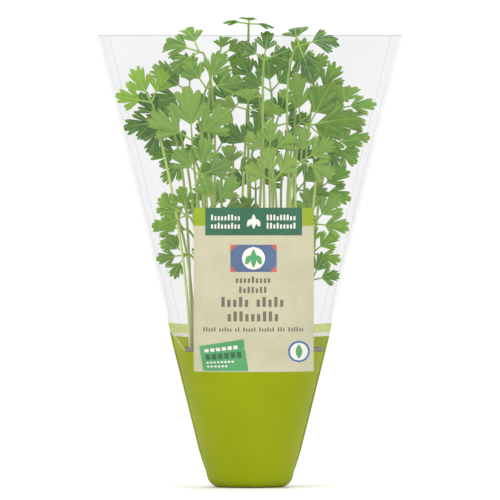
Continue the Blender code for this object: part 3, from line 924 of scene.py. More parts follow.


# The last column, the tone, paints shade on fronds that lie in shadow and light on fronds lit through,
# besides each leaf's own green.
FRONDS = (
    Frond(-8, 265, 6, 46, 0, 21, 76, 30, Tone.LIT_THROUGH),
    Frond(-14, 222, -4, 30, 0, 19, 64, 25, Tone.IN_LIGHT),
    Frond(-1, 329, 5, 72, 0, 14, 82, 25, Tone.IN_SHADE),
    Frond(-36, 309, -72, 0, 30, 21, 52, 50, Tone.MID),
    Frond(35, 313, 72, 0, -42, 22, 88, 50, Tone.IN_SHADE),
    Frond(10, 303, 8, -16, 0, 16, 58, 30, Tone.IN_SHADE),
    Frond(-22, 306, 60, 6, 40, 17, 50, 30, Tone.MID),
    Frond(-70, 270, -28, 0, 0, 20, 51, 14, Tone.LIT_THROUGH),
    Frond(-62, 260, -100, 0, 0, 20, 58, 14, Tone.IN_SHADE),
    Frond(-43, 279, -50, 4, 12, 24, 52, 18, Tone.MID),
    Frond(-31, 283, 22, 8, 8, 21, 56, 22, Tone.MID),
    Frond(-41, 246, -4, 8, -6, 29, 54, 16, Tone.IN_LIGHT),
    Frond(-52, 254, -40, -6, 0, 22, 55, 18, Tone.MID),
    Frond(15, 281, -8, 6, 0, 18, 50, 25, Tone.IN_SHADE),
    Frond(33, 288, 6, 6, 14, 21, 52, 20, Tone.MID),
    Frond(47, 278, 36, 4, 8, 20, 51, 20, Tone.MID),
    Frond(54, 284, 80, 0, 40, 19, 51, 16, Tone.MID),
    Frond(36, 259, 48, 6, 6, 29, 54, 16, Tone.IN_LIGHT),
    Frond(42, 251, 80, 4, -8, 25, 53, 16, Tone.MID),
    Frond(4, 285, -30, 12, 20, 19, 55, 25, Tone.MID),
    Frond(-14, 266, -15, 6, 0, 22, 55, 22, Tone.IN_SHADE),
    Frond(18, 256, 18, -8, 0, 20, 55, 20, Tone.IN_SHADE),
    Frond(14, 237, 2, 8, 0, 17, 52, 20, Tone.IN_LIGHT),
    Frond(66, 250, 98, 0, 6, 13, 48, 10, Tone.MID),
    Frond(58, 243, 124, 2, 8, 16, 49, 30, Tone.IN_SHADE),
    Frond(36, 231, 58, 8, 4, 20, 52, 20, Tone.IN_LIGHT),
    Frond(48, 211, 54, 2, 6, 19, 50, 12, Tone.MID),
    Frond(48, 187, 42, 2, 0, 20, 54, 12, Tone.MID),
    Frond(47, 166, 52, 2, 8, 16, 54, 20, Tone.IN_LIGHT),
    Frond(44, 147, 24, 2, 8, 15, 54, 20, Tone.IN_SHADE),
    Frond(-44, 235, -84, 4, 6, 20, 51, 15, Tone.MID),
    Frond(-36, 221, 12, 6, 0, 20, 56, 20, Tone.MID),
    Frond(-45, 193, -60, 4, 6, 16, 52, 15, Tone.IN_LIGHT),
    Frond(-47, 183, -82, 2, 0, 16, 48, 15, Tone.MID),
    Frond(-46, 165, -98, 2, 6, 14, 52, 20, Tone.MID),
    Frond(-54, 197, -34, 0, 0, 9, 60, 10, Tone.IN_LIGHT),
    Frond(17, 217, -12, 8, 0, 18, 50, 15, Tone.IN_LIGHT),
    Frond(34, 211, 40, 16, 0, 18, 56, 20, Tone.MID),
    Frond(-26, 201, 38, 8, 0, 20, 54, 15, Tone.MID),
    Frond(2, 239, 14, 10, 0, 20, 58, 20, Tone.IN_SHADE),
    Frond(-24, 237, -28, -10, 0, 19, 56, 20, Tone.IN_SHADE),
    Frond(24, 231, 14, -10, 0, 18, 55, 15, Tone.IN_SHADE),
    Frond(4, 211, 0, -12, 0, 18, 56, 15, Tone.IN_SHADE),
    Frond(-30, 196, -20, -10, 0, 14, 54, 15, Tone.MID),
    Frond(30, 184, 10, -10, 0, 14, 54, 15, Tone.MID),
    Frond(-4, 186, 6, 24, 0, 18, 62, 25, Tone.MID),
    Frond(20, 172, 30, 18, 0, 15, 58, 20, Tone.MID),
    Frond(-22, 166, -24, -14, 0, 15, 58, 15, Tone.MID),
)


@dataclass(frozen=True)
class SettledFrond:
    """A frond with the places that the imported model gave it: its node, its root and its stalk's bow."""

    frond: Frond
    node: Array
    root: Array
    bow: float


@dataclass(frozen=True)
class FrondReader:
    """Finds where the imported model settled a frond, by fitting the frond's own form to its CAD node.

    The CAD leaf is rigid, so the node's place is the shift that lands the most of its
    leaflets' corners on the CAD node's points. The four lowest points are the root, and
    the bow is the one whose stalk passes nearest to the CAD stalk's middle row.
    """

    leaf_node: float = 3.0 * MM
    side_leaflet: float = 0.90
    stalklet_share: float = 0.28
    stalklet_width: float = 1.5 * MM
    leaf_thickness: float = 0.8 * MM
    bow_step: float = 8.0 * MM
    bow_steps: int = 3
    tolerance: float = 0.02 * MM
    outline: tuple[tuple[float, float], ...] = (
        (0.00, 0.04), (0.26, 0.22), (0.54, 0.47), (0.66, 0.30), (0.84, 0.31), (1.00, 0.06),
    )

    def corners(self, frond: Frond) -> Array:
        """Corner points of the CAD leaflets about their node.

        Each cross-section stands across a circular arc that leaves the node along the
        leaflet's axis, at its share of the leaflet's length.

        Args:
            frond: the frond.

        Returns:
            The points, with the node at zero.
        """
        direction, side, normal = frond.axes()
        places = []
        for share_of_spread, scale in ((-1, self.side_leaflet), (0, 1.0), (1, self.side_leaflet)):
            angle = math.radians(frond.spread) * share_of_spread
            length = frond.size * MM * scale
            axis = direction * math.cos(angle) + side * math.sin(angle)
            across = side * math.cos(angle) - direction * math.sin(angle)
            bend = frond.droop() * math.radians(frond.arch) / length
            for share, half in self.outline:
                run = share * length
                reach = self.leaf_node + self.stalklet_share * length + math.sin(bend * run) / bend
                middle = axis * reach - normal * (1 - math.cos(bend * run)) / bend
                facing = normal * math.cos(bend * run) + axis * math.sin(bend * run)
                wide = max(half * length, self.stalklet_width / 2)
                for left in (-1, 1):
                    for up in (-1, 1):
                        thick = facing * self.leaf_thickness / 2 * up
                        places.append(middle + across * wide * left + thick)
        return np.array(places)

    def read(self, frond: Frond, name: str) -> SettledFrond:
        """Fits one frond to its CAD node.

        Args:
            frond: the frond.
            name: the CAD node's name.

        Returns:
            The settled frond.
        """
        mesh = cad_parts[name].data
        raw = np.empty(len(mesh.vertices) * 3, np.float32)
        mesh.vertices.foreach_get("co", raw)
        found = np.unique(np.round(raw.reshape(-1, 3).astype(float), 6), axis=0)
        wanted = self.corners(frond)
        shifts = found - wanted[-1]
        apart = wanted[None, :, None] + shifts[:, None, None] - found[None, None]
        gaps = np.linalg.norm(apart, axis=-1).min(axis=-1)
        fits = (gaps < self.tolerance).sum(axis=1)
        node = shifts[np.argmax(fits)]
        root = found[np.argsort(found[:, 2])[:4]].mean(axis=0)
        bows = np.arange(-self.bow_steps, self.bow_steps + 1) * self.bow_step
        misses = []
        for bow in bows:
            middle = Stalk(node, root, float(bow), frond.axes()[0]).path(np.array([0.5]))[0]
            nearest = found[np.argsort(np.linalg.norm(found - middle, axis=1))[:4]].mean(axis=0)
            misses.append(float(np.linalg.norm(nearest - middle)))
        bow = float(bows[int(np.argmin(misses))])
        fit = (name, int(fits.max()), len(wanted), min(misses) / MM)
        LOG.info("%s: %d of %d corners fit, stalk off by %.2f mm", *fit)
        return SettledFrond(frond, node, root, bow)


@dataclass(frozen=True)
class Stalk:
    """The line of a stalk: upright out of the compost, bowed, and into the leaf along its direction."""

    node: Array
    root: Array
    bow: float
    direction: Array
    leaf_node: float = 3.0 * MM
    drift: float = 0.12
    belly: float = 0.5
    neck: float = 0.16
    neck_limit: float = 14 * MM
    climb: float = 0.12

    def path(self, shares: Array) -> Array:
        """Points of the cubic Bezier curve from the root to the leaf.

        Its first guide stands above the root at the belly's height, drifted and bowed, and its
        second below the leaf, in line with it by the neck's length and lower by the climb.

        Args:
            shares: the curve's parameter, from 0 at the root to 1 at the leaf.

        Returns:
            One point for each share.
        """
        rise = self.node[2] - self.root[2]
        entry = self.node - self.direction * self.leaf_node
        drifted = self.drift * (self.node[0] - self.root[0])
        neck = min(self.neck * rise, self.neck_limit)
        guides = (
            self.root,
            self.root + np.array((drifted, self.bow, self.belly * rise)),
            entry - self.direction * neck - np.array((0.0, -self.bow / 2, self.climb * rise)),
            entry,
        )
        t = shares[:, None]
        weights = ((1 - t) ** 3, 3 * t * (1 - t) ** 2, 3 * t**2 * (1 - t), t**3)
        return sum(weight * guide for weight, guide in zip(weights, guides))


@dataclass(frozen=True)
class LeafletForm:
    """The blade of one leaflet: a fan about its base, cut into lobes, each with rounded teeth.

    A point of the blade lies at a share r of the way from the base to the margin, in the
    direction t of the fan. The margin's distance is the length of the lobe that t falls
    in, rounded off to its sides, times a row of half sine waves, one for each tooth.
    Widths of veins and the gap to the film are lengths, and the rest are shares.
    """

    fan: float = math.radians(53.0)
    sinus: float = 0.46
    sinus_width: float = 0.13
    shoulder: float = 0.24
    tooth: float = 0.21
    base: float = 0.035
    columns: int = 91
    rows: int = 9
    thickness: float = 0.26 * MM
    rib_width: float = 0.34 * MM
    vein_width: float = 0.26 * MM
    film_gap: float = 1.3 * MM

    def lobes(self, draw: np.random.Generator) -> list[tuple[float, float, float, int]]:
        """Draws the three lobes: two short ones beside a long one.

        Args:
            draw: source of the leaflet's own variation.

        Returns:
            Each lobe's first and last place in the fan, its length and its number of teeth.
        """
        left, right = draw.uniform(0.40, 0.52, 2)
        sides = draw.uniform(0.70, 0.82, 2)
        teeth = draw.integers(2, 5, 2)
        return [
            (-1.0, -left, sides[0], int(teeth[0])),
            (-left, right, 1.0, int(draw.integers(3, 6))),
            (right, 1.0, sides[1], int(teeth[1])),
        ]

    def margin(self, t: Array, draw: np.random.Generator) -> tuple[Array, Array, Array, Array]:
        """Distance of the margin, and the veins' targets.

        Args:
            t: places in the fan, from -1 to 1.
            draw: source of the leaflet's own variation.

        Returns:
            The margin's distance as a share of the length, the place within the lobe from -1 to
            1, the lobe's middle and the nearest tooth's middle as places in the fan.
        """
        cut = self.sinus * draw.uniform(0.6, 1.08)
        reach = np.ones_like(t)
        local = np.zeros_like(t)
        middle = np.zeros_like(t)
        toothed = np.zeros_like(t)
        for first, last, length, teeth in self.lobes(draw):
            inside = (t >= first) & (t <= last)
            share = (t[inside] - first) / (last - first)
            spot = 2 * share - 1
            rounded = length * (1 - self.shoulder * np.abs(spot) ** 2.4)
            open_side = np.where(spot < 0, first > -1.0, last < 1.0)
            gap = 1 - cut * np.exp(-(((1 - np.abs(spot)) / self.sinus_width) ** 2)) * open_side
            steps = np.clip(share, 1e-6, 1 - 1e-6) * teeth
            wave = np.abs(np.sin(math.pi * steps)) ** 0.6
            depth = self.tooth * draw.uniform(0.7, 1.2)
            reach[inside] = rounded * gap * (1 - depth + depth * wave)
            local[inside] = spot
            middle[inside] = (first + last) / 2
            toothed[inside] = first + (np.floor(steps) + 0.5) / teeth * (last - first)
        return reach, local, middle, toothed

    def surface(
        self, settled: SettledFrond, angle: float, length: float, draw: np.random.Generator
    ) -> tuple[Array, Array, Array]:
        """The blade's middle surface, its upper and lower grids.

        The flat fan is bent down along a circular arc, as the CAD leaflet is. Its lobes are
        dished between their ribs, its sides hang, and its margin waves. Where it would pass
        through the film it lies flat against it.

        Args:
            settled: the frond.
            angle: the angle in radians from the leaf's direction to this leaflet.
            length: the leaflet's length.
            draw: source of the leaflet's own variation.

        Returns:
            The grid on the normal's side, the grid on the other side, and the veins.
        """
        frond = settled.frond
        direction, side, normal = frond.axes()
        up = frond.droop()
        t = np.linspace(-1.0, 1.0, self.columns)
        reach, local, middle, toothed = self.margin(t, draw)
        share = np.linspace(0.0, 1.0, self.rows)[:, None] ** 0.85
        radius = self.base + (reach - self.base) * share
        wander = draw.uniform(-0.05, 0.05)
        theta = self.fan * (t + 0.05 * np.sign(t) * radius**2 + wander * radius**2)
        run = radius * np.cos(theta) * length
        lateral = radius * np.sin(theta) * length
        cup = draw.uniform(0.10, 0.34)
        dish = draw.uniform(0.03, 0.07)
        wave = 0.028 * np.sin(2 * math.pi * (1.4 * t + draw.uniform())) * share**2
        dished = dish * np.abs(local) ** 1.6 * radius * (share > 0)
        lift = length * up * (-cup * (lateral / length) ** 2 + dished + wave)
        bend = up * math.radians(frond.arch * draw.uniform(0.8, 1.35)) / length
        axis = direction * math.cos(angle) + side * math.sin(angle)
        across = side * math.cos(angle) - direction * math.sin(angle)
        start = FrondReader.leaf_node + FrondReader.stalklet_share * length
        along = (start + np.sin(bend * run) / bend)[..., None]
        drop = ((1 - np.cos(bend * run)) / bend)[..., None]
        facing = normal * np.cos(bend * run)[..., None] + axis * np.sin(bend * run)[..., None]
        sheet = settled.node + axis * along - normal * drop + across * lateral[..., None]
        sheet = self.pressed(sheet + facing * lift[..., None])
        rows = np.gradient(sheet, axis=0)
        columns = np.gradient(sheet, axis=1)
        outward = unit(np.cross(columns, rows))
        outward *= np.sign((outward * facing).sum(axis=-1, keepdims=True))
        half = (self.thickness / 2 * (0.25 + 0.75 * np.sqrt(1 - 0.96 * share)))[..., None]
        veins = self.veins(theta, radius, middle, toothed, length)
        return sheet + outward * half, sheet - outward * half, veins

    def veins(
        self, theta: Array, radius: Array, middle: Array, toothed: Array, length: float
    ) -> Array:
        """How near each point is to a vein.

        A lobe's rib runs from the base along the lobe's middle. A side vein leaves it part of
        the way up and eases over to the middle of its tooth.

        Args:
            theta: directions in the fan, in radians.
            radius: distances from the base, over the length.
            middle: the lobe's middle for each column.
            toothed: the tooth's middle for each column.
            length: the leaflet's length.

        Returns:
            1 on a vein, falling to 0 beside it.
        """
        rib = self.fan * middle
        parted = smooth((radius - 0.28) / 0.55)
        branch = rib + (self.fan * toothed - rib) * parted
        near_rib = np.abs(theta - rib) * radius * length
        near_branch = np.abs(theta - branch) * radius * length
        strong = np.exp(-((near_rib / self.rib_width) ** 2))
        faint = 0.75 * np.exp(-((near_branch / self.vein_width) ** 2))
        return np.maximum(strong, faint)

    def pressed(self, sheet: Array) -> Array:
        """Keeps a sheet inside the film: front to back it reaches no further than just under it.

        Args:
            sheet: points of the sheet.

        Returns:
            The same points, held in. Above the mouth they are left alone.
        """
        wide, deep = FORM.section(sheet[..., 2])
        inside = np.maximum(1 - (sheet[..., 0] / (wide - self.film_gap)) ** 2, 0.0)
        room = (deep - self.film_gap) * np.sqrt(inside)
        room = np.where(sheet[..., 2] > FORM.height, 1.0, np.maximum(room, 0.4 * MM))
        held = sheet.copy()
        held[..., 1] = np.clip(sheet[..., 1], -room, room)
        return held


@dataclass(frozen=True)
class Parsley:
    """The whole plant: each frond is a stalk that splits into three stalklets with a blade each."""

    reader: FrondReader = FrondReader()
    blade: LeafletForm = LeafletForm()
    root_radius: float = 1.12 * MM
    leaf_radius: float = 0.78 * MM
    stalklet_radius: float = 0.62 * MM
    tip_radius: float = 0.30 * MM
    planted: float = 2.5 * MM
    stalk_sides: int = 10
    stalk_ridges: float = 0.06
    stalklet_sides: int = 8

    def stalk(self, shape: Shape, settled: SettledFrond, tone: float) -> None:
        """Adds the ribbed, tapering stalk, which starts under the compost and ends in the node.

        Args:
            shape: the frond's shape so far.
            settled: the frond.
            tone: its tone.
        """
        direction = settled.frond.axes()[0]
        line = Stalk(settled.node, settled.root, settled.bow, direction)
        rise = line.path(np.linspace(0.0, 1.0, 30))
        below = settled.root - np.array((0.0, 0.0, self.planted))
        path = np.concatenate((below[None], rise, settled.node[None]))
        shares = np.linspace(0.0, 1.0, len(path))
        radii = self.root_radius + (self.leaf_radius - self.root_radius) * shares**0.8
        points, faces = tube(path, radii, self.stalk_sides, self.stalk_ridges)
        shape.add(points, faces, 1, along=np.repeat(shares, self.stalk_sides), tone=tone)

    def stalklet(
        self, shape: Shape, settled: SettledFrond, angle: float, length: float, tone: float
    ) -> None:
        """Adds a leaflet's stalklet, which runs on under the blade as its rib and tapers out there.

        Args:
            shape: the frond's shape so far.
            settled: the frond.
            angle: the angle in radians from the leaf's direction to this leaflet.
            length: the leaflet's length.
            tone: the frond's tone.
        """
        frond = settled.frond
        direction, side, normal = frond.axes()
        axis = direction * math.cos(angle) + side * math.sin(angle)
        start = self.reader.leaf_node + self.reader.stalklet_share * length
        bend = frond.droop() * math.radians(frond.arch) / length
        straight = np.linspace(0.0, start, 6)[:-1, None] * axis
        run = np.linspace(0.0, 0.30 * length, 5)[:, None]
        bent = axis * (start + np.sin(bend * run) / bend) - normal * (1 - np.cos(bend * run)) / bend
        path = settled.node + np.concatenate((straight, bent))
        shares = np.linspace(0.0, 1.0, len(path))
        radii = self.stalklet_radius + (self.tip_radius - self.stalklet_radius) * shares**2
        points, faces = tube(self.blade.pressed(path), radii, self.stalklet_sides)
        shape.add(points, faces, 1, along=np.full(len(points), 0.95), tone=tone)

    def build(self) -> list[bpy.types.Object]:
        """Builds every frond.

        Returns:
            One piece for each frond.
        """
        tissue = LeafTissue().material()
        stem = StalkTissue().material()
        pieces = []
        for number, frond in enumerate(FRONDS, start=1):
            node_name = f"frond_{number:02d}"
            settled = self.reader.read(frond, node_name)
            draw = np.random.default_rng(100 + number)
            # Each frond's tone is painted shade and light, with a little random variation.
            tone = frond.tone.value + draw.uniform(-0.07, 0.07)
            shape = Shape.empty("tone", "upper", "vein", "along")
            self.stalk(shape, settled, tone)
            spread = math.radians(frond.spread)
            size = frond.size * MM
            short = size * self.reader.side_leaflet
            for angle, length in ((-spread, short), (0.0, size), (spread, short)):
                self.stalklet(shape, settled, angle, length, tone)
                near, far, veins = self.blade.surface(settled, angle, length, draw)
                points, faces = sheet_shell(near, far)
                up = 1.0 if frond.droop() > 0 else 0.0
                upper = np.repeat((up, 1.0 - up), veins.size)
                shape.add(points, faces, 0, tone=tone, upper=upper, vein=np.tile(veins.ravel(), 2))
            piece = shape.build(f"parsley_{node_name}", [tissue, stem], 60.0)
            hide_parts(node_name)
            pieces.append(piece)
        return pieces


# The sleeve and its label.


@dataclass(frozen=True)
class Sleeve:
    """The film sleeve: one sheet round the pot, closed under it and open at its mouth.

    A weld runs up each side. It is narrow over the pot and widens above the pot's rim.
    """

    columns: int = 192
    rows: int = 110
    pot_rows: int = 24
    foot_rows: int = 9
    wall: float = 0.16 * MM
    weld_width: float = 2.4 * MM
    weld_wall: float = 0.30 * MM
    weld_rows: int = 90
    weld_lap: float = 0.1 * MM
    weld_wave: float = 0.25 * MM

    def heights(self) -> Array:
        """Heights of the rows from the top of the rounded foot up to the mouth."""
        low = np.linspace(FORM.foot_radius, FORM.rim_height, self.pot_rows)[:-1]
        return np.concatenate((low, np.linspace(FORM.rim_height, FORM.height, self.rows)))

    def ring(self, height: Array, inset: Array) -> Array:
        """Rings of the sleeve.

        A ring is the form's ellipse, set in by inset and by the film's slack.

        Args:
            height: the rings' heights.
            inset: how far each ring stands inside the form.

        Returns:
            Points, ring by ring.
        """
        angles = 2 * math.pi * np.arange(self.columns) / self.columns
        wide, deep = FORM.section(height)
        x = (wide - inset - self.weld_room(height))[:, None] * np.cos(angles)
        y = (deep - inset)[:, None] * np.sin(angles)
        z = np.broadcast_to(height[:, None], x.shape)
        slack = FORM.ripple(x, z, -np.sign(y)) * np.abs(np.sin(angles))
        return np.stack((x, y + np.sign(y) * slack, z), axis=-1)

    def weld_room(self, height: Array) -> Array:
        """How far the sheets stand in from the form to leave room for the welds, from the rim upwards."""
        return self.weld_width * smooth((height - FORM.rim_height - 4 * MM) / (40 * MM))

    def foot(self, inset: float) -> Array:
        """Rings of the rounded foot: a quarter circle from the flat base up to the wall.

        Args:
            inset: how far the rings stand inside the form.

        Returns:
            Points, ring by ring from the middle of the base outwards.
        """
        turned = np.linspace(0.0, math.pi / 2, self.foot_rows)[:-1]
        radius = FORM.foot_radius
        height = radius * (1 - np.cos(turned))
        wide = FORM.section(height)[0] - radius * (1 - np.sin(turned)) - inset
        angles = 2 * math.pi * np.arange(self.columns) / self.columns
        flat = np.array((0.02, 0.5, 0.8)) * wide[0]
        wide = np.concatenate((flat, wide))
        height = np.concatenate((np.zeros(3), height))
        lift = inset * np.clip(1 - height / radius, 0, 1)
        ring = np.stack((np.cos(angles), np.sin(angles)), axis=-1)
        points = wide[:, None, None] * ring
        up = np.broadcast_to((height + lift)[:, None, None], (*points.shape[:2], 1))
        return np.concatenate((points, up), axis=-1)

    def build(self) -> bpy.types.Object:
        """Builds the sleeve with its welds: an outer and an inner wall, joined at the lip.

        Returns:
            The piece.
        """
        heights = self.heights()
        outer = np.concatenate((self.foot(0.0), self.ring(heights, np.zeros_like(heights))))
        inset = np.full_like(heights, self.wall)
        inner = np.concatenate((self.foot(self.wall), self.ring(heights, inset)))
        count = len(outer)
        size = count * self.columns
        first = np.arange(self.columns)
        after = np.roll(first, -1)
        top = first + (count - 1) * self.columns
        top_after = after + (count - 1) * self.columns
        lip = np.stack((top, top_after, top_after + size, top + size), axis=-1)
        faces = [
            grid_quads(count, self.columns, closed=True),
            grid_quads(count, self.columns, size, closed=True)[:, ::-1],
            lip,
            first[None, ::-1],
            (first + size)[None],
        ]
        shape = Shape.empty()
        shape.add(np.concatenate((outer.reshape(-1, 3), inner.reshape(-1, 3))), faces)
        shape.finishes = [np.full(len(part), side) for part, side in zip(faces, (0, 1, 1, 0, 1))]
        for hand in (-1, 1):
            shape.add(*self.weld(hand))
        materials = [PrintedFilm().material(), ClearFilm().material()]
        piece = shape.build("film_sleeve", materials, 60.0)
        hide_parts("sleeve")
        return piece

    def weld(self, hand: int) -> tuple[Array, list[Array]]:
        """The welded strip where the front and back sheets meet at one side.

        Args:
            hand: -1 for the left side and 1 for the right.

        Returns:
            The points and the faces.
        """
        height = np.linspace(FORM.foot_radius + 6 * MM, FORM.height, self.weld_rows)
        wide = FORM.section(height)[0]
        reach = np.linspace(0.0, 1.0, 4)
        inner = wide - self.weld_room(height) - self.weld_lap
        low_width = 0.45 * self.weld_width * smooth((height - FORM.foot_radius) / (20 * MM))
        outer = np.maximum(wide, inner + self.weld_lap + low_width)
        x = hand * (inner[:, None] + (outer - inner)[:, None] * reach)
        wave = self.weld_wave * np.sin(height / (17 * MM) + hand)[:, None] * reach
        z = np.broadcast_to(height[:, None], x.shape)
        front = np.stack((x, wave - self.weld_wall / 2, z), axis=-1)
        back = np.stack((x, wave + self.weld_wall / 2, z), axis=-1)
        if hand < 0:
            front, back = front[:, ::-1], back[:, ::-1]
        return sheet_shell(front, back)


class Outline(Enum):
    """The outlines that a printed patch can have."""

    PANEL = "panel"
    LEAF = "leaf"
    DISC = "disc"


@dataclass(frozen=True)
class Patch:
    """One printed patch of the label, in millimetres: its corners from the lower left, anticlockwise.

    layer counts up from the paper, and keeps each ink a hair in front of what it is printed on.
    """

    corners: tuple[tuple[float, float], ...]
    layer: int
    outline: Outline = Outline.PANEL
    pitch: float = 1.2
    curved_steps: int = 17

    @classmethod
    def box(
        cls,
        left: float,
        right: float,
        low: float,
        high: float,
        layer: int,
        outline: Outline = Outline.PANEL,
    ) -> "Patch":
        """An upright patch between these edges."""
        return cls(((left, low), (right, low), (right, high), (left, high)), layer, outline)

    def grid(self) -> tuple[Array, Array]:
        """Places over the patch.

        A unit square is shaped to the outline and carried onto the four corners: a leaf's rows have
        a half width of the sine of their height, and a disc's rows reach out to its circle.

        Returns:
            Places across and heights, in millimetres.
        """
        low_left, low_right, high_right, high_left = (np.array(corner) for corner in self.corners)
        width = float(np.linalg.norm(low_right - low_left))
        height = float(np.linalg.norm(high_left - low_left))
        curved = self.outline is not Outline.PANEL
        columns = self.curved_steps if curved else max(3, int(width / self.pitch) + 2)
        rows = self.curved_steps if curved else max(2, int(height / self.pitch) + 2)
        u, v = np.meshgrid(np.linspace(0.0, 1.0, columns), np.linspace(0.0, 1.0, rows))
        if self.outline is Outline.LEAF:
            u = 0.5 + (u - 0.5) * np.maximum(np.sin(math.pi * v) ** 0.8, 0.03)
        elif self.outline is Outline.DISC:
            across = 2 * u - 1
            u = 0.5 + across / 2 * np.sqrt(np.maximum(1 - (2 * v - 1) ** 2, 0.001))
        low = low_left + (low_right - low_left) * u[..., None]
        high = high_left + (high_right - high_left) * u[..., None]
        place = low + (high - low) * v[..., None]
        return place[..., 0], place[..., 1]


